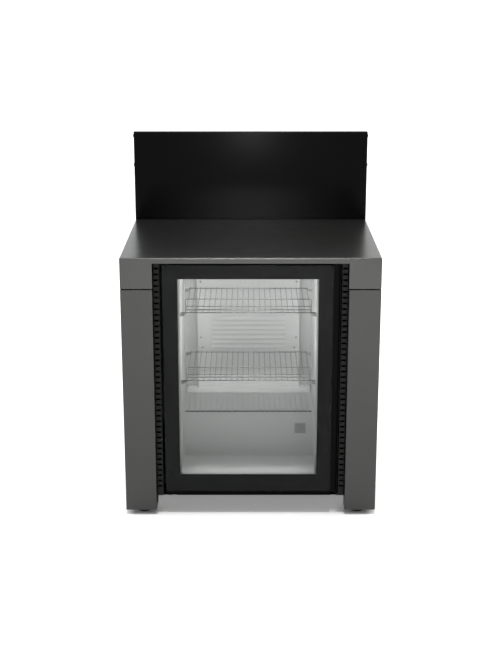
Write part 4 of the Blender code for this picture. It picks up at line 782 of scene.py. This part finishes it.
def step(left, right, near, far, low, high, rounding, steps=10):
    """A moulded step along X: a rectangle in depth and height whose near upper corner is a quarter circle."""
    angle = np.linspace(math.pi, math.pi / 2, steps)
    arc_depth = near + rounding * (1.0 + np.cos(angle))
    arc_height = high - rounding * (1.0 - np.sin(angle))
    depth = np.concatenate([[far, near], arc_depth, [far]])
    height = np.concatenate([[low, low], arc_height, [high]])
    middle = [(near + far) / 2, (low + high) / 2]
    return bar_along_x(left, right, np.stack([depth, height], axis=-1), middle)


def folded_strip(path, thickness, low, high):
    """A strip on edge: a path in plan offset by half the thickness to both sides, mitred at its bends, from
    low to high. Both ends close on the middle of the section.
    """
    path = np.asarray(path, float)
    run = unit(np.diff(path, axis=0))
    side = np.stack([-run[:, 1], run[:, 0]], axis=-1)
    before = np.concatenate([side[:1], side])
    after = np.concatenate([side, side[-1:]])
    mitre = (before + after) / (1.0 + np.sum(before * after, axis=-1, keepdims=True))
    offset = thickness / 2 * np.array([-1.0, 1.0, 1.0, -1.0])[:, None]
    plan = path[:, None] + offset * mitre[:, None]
    height = np.broadcast_to(np.array([low, low, high, high])[:, None], (len(path), 4, 1))
    sections = np.concatenate([plan, height], axis=-1)
    middle = np.broadcast_to(sections.mean(axis=1, keepdims=True), sections.shape)
    return sheet_of(np.concatenate([middle[:1], sections, middle[-1:]]), True)


# Wire racks: a mat of wires welded on cross wires, and a guard at the front
CROSS_WIRE = 0.0020
DEPTH_WIRE = 0.0015
GUARD_WIRE = DEPTH_WIRE * 0.9
WIRE_WELD = 0.0006
WIRE_COUNT = 23
WIRE_INSET = 0.0046
MAT_HALF = 0.218
MAT_RISE = CROSS_WIRE + DEPTH_WIRE - WIRE_WELD
FRONT_WIRE_HALF = 0.2315
HUMP_WIRE_HALF = 0.228
GUARD_HALF = 0.215
GUARD_RISE = 0.048
GUARD_MIDDLE = 0.022
GUARD_CORNER = 0.008
GUARD_CORNER_STEPS = 8
RACK_FRONT = 0.100
RACK_RIM = 0.136
RACK_REAR = 0.428
RACK_OVERHANG = 0.006
RACKS = (("upper_wire_shelf", 0.705), ("middle_wire_shelf", 0.460))
WIRE_PLACES = FRIDGE_MIDDLE + np.linspace(-MAT_HALF + WIRE_INSET, MAT_HALF - WIRE_INSET, WIRE_COUNT)


def cross_wire(depth, half, height, radius=CROSS_WIRE):
    return rod([in_fridge(-half, depth, height), in_fridge(half, depth, height)], radius, Z)


def wire_mat(front, rear, height):
    """Wires from front to rear, spread evenly over the mat."""
    return [
        rod([(x, FRONT + front, height), (x, FRONT + rear, height)], DEPTH_WIRE, Z)
        for x in WIRE_PLACES
    ]


def guard_rail(height):
    """A hoop that stands on the front wire, its two upper corners quarter circles."""
    turn = np.linspace(math.pi, math.pi / 2, GUARD_CORNER_STEPS)
    arc_x = GUARD_CORNER * np.cos(turn) - GUARD_HALF + GUARD_CORNER
    arc_z = GUARD_CORNER * np.sin(turn) + GUARD_RISE - GUARD_CORNER
    x = FRIDGE_MIDDLE + np.concatenate([[-GUARD_HALF], arc_x, -arc_x[::-1], [GUARD_HALF]])
    z = height + np.concatenate([[0.0], arc_z, arc_z[::-1], [0.0]])
    path = np.stack([x, np.full_like(x, FRONT + RACK_FRONT), z], axis=-1)
    return rod(path, DEPTH_WIRE, Y)


racks = []
for name, height in RACKS:
    rack = [
        cross_wire(RACK_FRONT, FRONT_WIRE_HALF, height),
        cross_wire(RACK_RIM, MAT_HALF, height),
        cross_wire(RACK_REAR, MAT_HALF, height),
        cross_wire(RACK_FRONT, GUARD_HALF, height + GUARD_MIDDLE, GUARD_WIRE),
        guard_rail(height),
    ]
    rack += wire_mat(RACK_FRONT - RACK_OVERHANG / 3, RACK_REAR + RACK_OVERHANG, height + MAT_RISE)
    racks.append(piece(f"{name}_round", rack, wire_plate, "cabinet", (name,)))

# The liner's hump has a rounded front edge, and the wires of its mat bend over it to a front wire
HUMP_EDGE = 0.008
HUMP_EDGE_ENDS = 0.0065
MAT_REST = 0.00057
BEND_END = math.radians(15.0)
BEND_STEPS = 8
FRONT_WIRE_TURN = math.radians(30.0)
hump_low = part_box("hump_wire_mat")[0]
hump_front = hump_low.y - HUMP_EDGE
hump_top = hump_low.z - MAT_REST
hump_edge = nosing(
    LINER_LEFT + HUMP_EDGE_ENDS, LINER_RIGHT - HUMP_EDGE_ENDS, hump_front, hump_top, HUMP_EDGE,
)
hump_edge_round = piece("hump_edge_round", [hump_edge], liner_white, "cabinet")

mat_height = hump_low.z + CROSS_WIRE
wire_height = mat_height + MAT_RISE
bend_depth = hump_low.y
bend_level = hump_top - HUMP_EDGE
bend_reach = wire_height - bend_level
bend = np.linspace(BEND_END, math.pi / 2, BEND_STEPS)
wire_rear = FRONT + RACK_REAR + RACK_OVERHANG
wire_depth = np.concatenate([bend_depth - bend_reach * np.cos(bend), [wire_rear]])
wire_level = np.concatenate([bend_level + bend_reach * np.sin(bend), [wire_height]])
hump_mat = [cross_wire(RACK_REAR, MAT_HALF, mat_height)]
hump_mat += [
    rod(np.stack([np.full_like(wire_depth, x), wire_depth, wire_level], axis=-1), DEPTH_WIRE, X)
    for x in WIRE_PLACES
]
# The mat's wires wear the lighter copy of the plating, which is painted light
piece("hump_wire_mat_round", hump_mat, lit_mat_plate, "cabinet", ("hump_wire_mat",))
front_reach = HUMP_EDGE + CROSS_WIRE
front_depth = bend_depth - front_reach * math.cos(FRONT_WIRE_TURN) - FRONT
front_level = bend_level + front_reach * math.sin(FRONT_WIRE_TURN)
front_wire = cross_wire(front_depth, HUMP_WIRE_HALF, front_level)
# The front wire is real; its darker plating is painted shade along the hump's front edge
piece("hump_front_wire", [front_wire], shaded_wire_plate, "cabinet")

# A sill closes the step between the hump and the rear air cover
SILL_FRONT = 0.0012
SILL_ROUND = 0.0012
SILL_LAP = 0.0008
SILL_ENDS = 0.0040
cover_low, cover_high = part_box("rear_air_cover")
sill = step(
    LINER_LEFT + SILL_ENDS, LINER_RIGHT - SILL_ENDS, COVER_FACE - SILL_FRONT, cover_high.y - SILL_LAP,
    hump_top - SILL_LAP, cover_low.z + SILL_LAP, SILL_ROUND,
)
cover_sill = piece("cover_sill", [sill], liner_white, "cabinet")

# Levelling feet and splash studs, turned
FOOT_PROFILE = (
    (0.0, 0.044), (0.005, 0.044), (0.005, 0.0187), (0.0105, 0.0187), (0.0105, 0.011),
    (0.0235, 0.009), (0.0265, 0.005), (0.0265, 0.001), (0.0255, 0.0), (0.0, 0.0),
)
FOOT_EASE = 0.0006
STUD_PROFILE = (
    (0.0, 0.0012), (0.0020, 0.0012), (0.0020, 0.0027), (0.0038, 0.0027), (0.0060, 0.0013),
    (0.0060, 0.0003), (0.0030, 0.0003), (0.0030, -0.012), (0.0, -0.012),
)
STUD_EASE = 0.0004
for name in ("left_front_foot", "left_rear_foot", "right_front_foot", "right_rear_foot"):
    low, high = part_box(name)
    place = ((low.x + high.x) / 2, (low.y + high.y) / 2, 0.0)
    foot = spun(eased(FOOT_PROFILE, FOOT_EASE), place, (X, Y, Z))
    piece(f"{name}_turned", [foot], foot_rubber, "cabinet", (name,))

splash_low, splash_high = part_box("splash_panel")
for side, edge, out in (("left", splash_low.x, NEG_X), ("right", splash_high.x, X)):
    for name in (f"{side}_upper_splash_stud", f"{side}_lower_splash_stud"):
        low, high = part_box(name)
        place = (edge, (low.y + high.y) / 2, (low.z + high.z) / 2)
        stud = spun(eased(STUD_PROFILE, STUD_EASE), place, (Y, Z, out))
        piece(f"{name}_turned", [stud], black_steel, "cabinet", (name,))

# Flanges behind the seam under the worktop, at both sides and at the back
SEAM_OVERLAP = 0.010
SHEET = 0.002
FLANGE = 0.0012
FLANGE_GAP = 0.0002
FLANGE_START = 0.012
seam_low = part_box("left_side_column")[1].z - SEAM_OVERLAP
seam_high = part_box("worktop")[0].z + SEAM_OVERLAP
panel_low, panel_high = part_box("back_panel")
inset = SHEET + FLANGE_GAP + FLANGE / 2
flange_paths = {}
for name, side in (("left", -1), ("right", 1)):
    skin = side * (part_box("worktop")[1].x - inset)
    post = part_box(f"{name}_leg_frame")[max(side, 0)].x + side * SHEET
    flange_paths[name] = [(skin, FRONT + FLANGE_START), (skin, BACK - inset), (post, BACK - inset)]
flange_paths["rear"] = [
    (x, panel_low.y - FLANGE / 2)
    for x in (panel_low.x + SHEET, panel_high.x - SHEET)
]
for name, path in flange_paths.items():
    flange = folded_strip(path, FLANGE, seam_low, seam_high)
    piece(f"{name}_seam_flange", [flange], graphite, "cabinet")

# Door seal
SEAL_WIDTH = 0.014
door_seal = seal(*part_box("door_gasket"), SEAL_WIDTH)
piece("door_seal", [door_seal], seal_rubber, "door", ("door_gasket",))

# Screws: rear air cover, back panel and upper hinge bracket. A head is its radius and its height
COVER_SCREWS = ((0.177, 0.725), (0.177, 0.511), (0.171, 0.472))
COVER_HEAD = (0.0030, 0.0014)
PANEL_SCREW_ROWS = 5
PANEL_SCREW_SIDE = 0.014
PANEL_SCREW_END = 0.030
PANEL_HEAD = (0.0040, 0.0018)
BRACKET_SCREW_LEFT = 0.012
BRACKET_SCREW_RIGHT = 0.010
BRACKET_SCREW_REAR = 0.020
BRACKET_HEAD = (0.0042, 0.0019)
cover_places = [
    (FRIDGE_MIDDLE + side * reach, COVER_FACE, z)
    for side in (-1, 1)
    for reach, z in COVER_SCREWS
]
cover_heads = screw_heads(cover_places, (X, Z, NEG_Y), *COVER_HEAD)
piece("cover_screws", cover_heads, plug_plastic, "cabinet")

panel_places = [
    (x, BACK, z)
    for x in (panel_low.x + PANEL_SCREW_SIDE, panel_high.x - PANEL_SCREW_SIDE)
    for z in np.linspace(panel_low.z + PANEL_SCREW_END, panel_high.z - PANEL_SCREW_END, PANEL_SCREW_ROWS)
]
panel_heads = screw_heads(panel_places, (X, Z, Y), *PANEL_HEAD)
piece("back_panel_screws", panel_heads, black_steel, "cabinet")

bracket_low, bracket_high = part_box("upper_hinge_bracket")
bracket_places = [
    (x, bracket_high.y - BRACKET_SCREW_REAR, bracket_high.z)
    for x in (bracket_low.x + BRACKET_SCREW_LEFT, bracket_high.x - BRACKET_SCREW_RIGHT)
]
bracket_heads = screw_heads(bracket_places, (X, Y, Z), *BRACKET_HEAD)
piece("hinge_bracket_screws", bracket_heads, black_steel, "cabinet")

# Floor: rings at one level, and a rim far out that hides the horizon
FLOOR_LEVEL = -0.0002
FLOOR_RADII = (0.0, 0.5, 1.0, 2.0, 4.0, 8.0, 16.0, 40.0, 60.0)
RIM_RADIUS = 62.0
RIM_LEVEL = 8.0
FLOOR_SIDES = 64
radius = np.array((*FLOOR_RADII, RIM_RADIUS))[:, None]
angle = np.linspace(0.0, math.tau, FLOOR_SIDES, endpoint=False)[None]
level = np.full((len(radius), FLOOR_SIDES), FLOOR_LEVEL)
level[-1] = RIM_LEVEL
disc = np.stack([radius * np.cos(angle), radius * np.sin(angle), level], axis=-1)
floor = placed("floor", mesh_of("floor", *sheet_of(disc, True)))
floor.data.materials.append(pale_floor())
floor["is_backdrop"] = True

# Light: an overcast sky, brighter above and low behind the cabinet, and soft lamps
SKY_BASE = 0.11
SKY_ABOVE = 0.35
SKY_BEHIND = 0.55
SKY_STRENGTH = 2.0
SUN_POWER = 2.1
SUN_WIDTH = math.radians(5.0)
SUN_TILT = math.radians(1.5)
world = bpy.data.worlds.new("studio")
world.use_nodes = True
bpy.context.scene.world = world
sky = Tree(world.node_tree)
direction = sky.add("ShaderNodeTexCoord", {}, {}, "Generated")
up = sky.ease(sky.axis(direction, "Z"), low=-0.05, high=1.0)
right = sky.ease(sky.axis(direction, "X"), low=-1.0, high=1.0)
behind = sky.ease(sky.axis(direction, "Y"), low=-0.1, high=0.7)
tint = sky.blend(right, (0.96, 0.99, 1.03), (1.02, 1.0, 0.96))
brightness = SKY_BASE + SKY_ABOVE * up + SKY_BEHIND * behind * (1.0 - up)
sky.add("ShaderNodeOutputWorld", {}, {
    "Surface": sky.add("ShaderNodeBackground", {}, {
        "Color": sky.blend(brightness, (0.0, 0.0, 0.0), tint),
        "Strength": SKY_STRENGTH,
    }),
})


def lamp(name, place, aim, size, power, shade=(1.0, 1.0, 1.0), spread=180.0, receivers=()):
    """A soft lamp that looks at a point; spread is the angle of its cone of light in degrees, and receivers
    are the objects it lights where it doesn't light them all.
    """
    data = bpy.data.lights.new(name, "AREA")
    data.shape = "RECTANGLE"
    data.size, data.size_y = size
    data.energy = power
    data.color = shade
    data.spread = math.radians(spread)
    made = placed(name, data)
    made.location = place
    made.rotation_euler = (Vector(aim) - Vector(place)).to_track_quat("-Z", "Y").to_euler()
    made.visible_camera = False
    if receivers:
        lit = bpy.data.collections.new(f"{name}_receivers")
        for receiver in receivers:
            lit.objects.link(receiver)
        made.light_linking.receiver_collection = lit


sun = bpy.data.lights.new("overhead", "SUN")
sun.energy = SUN_POWER
sun.angle = SUN_WIDTH
overhead = placed("overhead", sun)
overhead.rotation_euler = (SUN_TILT, 0.0, 0.0)
lamp(
    "front_soft", place=(0.4, -4.0, 3.2), aim=(0.3, -3.8, 0.0), size=(2.6, 1.2), power=70.0,
    shade=(1.0, 0.985, 0.955), spread=95.0,
)
lamp(
    "camera_glow", place=(0.0, -4.7, 1.95), aim=(0.0, 0.3, 1.05), size=(0.6, 0.4), power=90.0,
    receivers=(nodes["splash_panel"], nodes["worktop"]),
)
lamp(
    "splash_glow", place=(0.0, -3.0, 0.84), aim=(0.0, 0.31, 1.27), size=(0.16, 0.08), power=4.5,
    receivers=(nodes["splash_panel"],),
)
lamp(
    "fridge_lamp", place=in_fridge(0.0, 0.150, 0.8375), aim=in_fridge(0.0, 0.45, 0.40),
    size=(0.20, 0.030), power=0.44,
)
walls = [node for name, node in nodes.items() if name.endswith("_shelf_standard")]
walls += [nodes["inner_liner"], nodes["rear_air_cover"], hump_edge_round, cover_sill]
for side in (-1, 1):
    lamp(
        f"door_edge_light_{side}", place=in_fridge(side * 0.190, 0.085, 0.62),
        aim=in_fridge(side * 0.190, 0.50, 0.62), size=(0.05, 0.38), power=0.102, spread=100.0,
        receivers=walls,
    )
    lamp(
        f"side_light_{side}", place=in_fridge(side * 0.10, 0.10, 0.66),
        aim=in_fridge(side * 0.23, 0.18, 0.66), size=(0.05, 0.36), power=0.25, spread=120.0,
        receivers=walls,
    )
lamp(
    "sill_light", place=in_fridge(0.0, 0.36, 0.430), aim=in_fridge(0.0, 0.449, 0.322),
    size=(0.45, 0.008), power=0.046, spread=46.0, receivers=walls,
)
lamp(
    "floor_fill", place=in_fridge(0.0, 0.105, 0.20), aim=in_fridge(0.0, 0.115, 0.0),
    size=(0.42, 0.02), power=0.042, spread=90.0, receivers=walls,
)
lamp(
    "rail_gleam", place=(0.034, FRONT - 1.0, 1.2), aim=in_fridge(0.0, 0.10, 0.62),
    size=(0.265, 0.15), power=1.5, receivers=racks,
)

# Camera at the photograph's angle, tilted down from level
CAMERA_PLACE = (0.0, -4.4035, 1.8805)
CAMERA_TILT = 16.29
SENSOR_WIDTH = 36.0
FOCAL_LENGTH = 70.21
LENS_SHIFT = -0.001
lens = bpy.data.cameras.new("camera")
lens.sensor_width = SENSOR_WIDTH
lens.lens = FOCAL_LENGTH
lens.shift_x = LENS_SHIFT
camera = placed("camera", lens)
camera.location = CAMERA_PLACE
camera.rotation_euler = (math.radians(90.0 - CAMERA_TILT), 0.0, 0.0)
bpy.context.scene.camera = camera
bpy.context.scene.view_settings.view_transform = "Standard"

low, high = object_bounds()
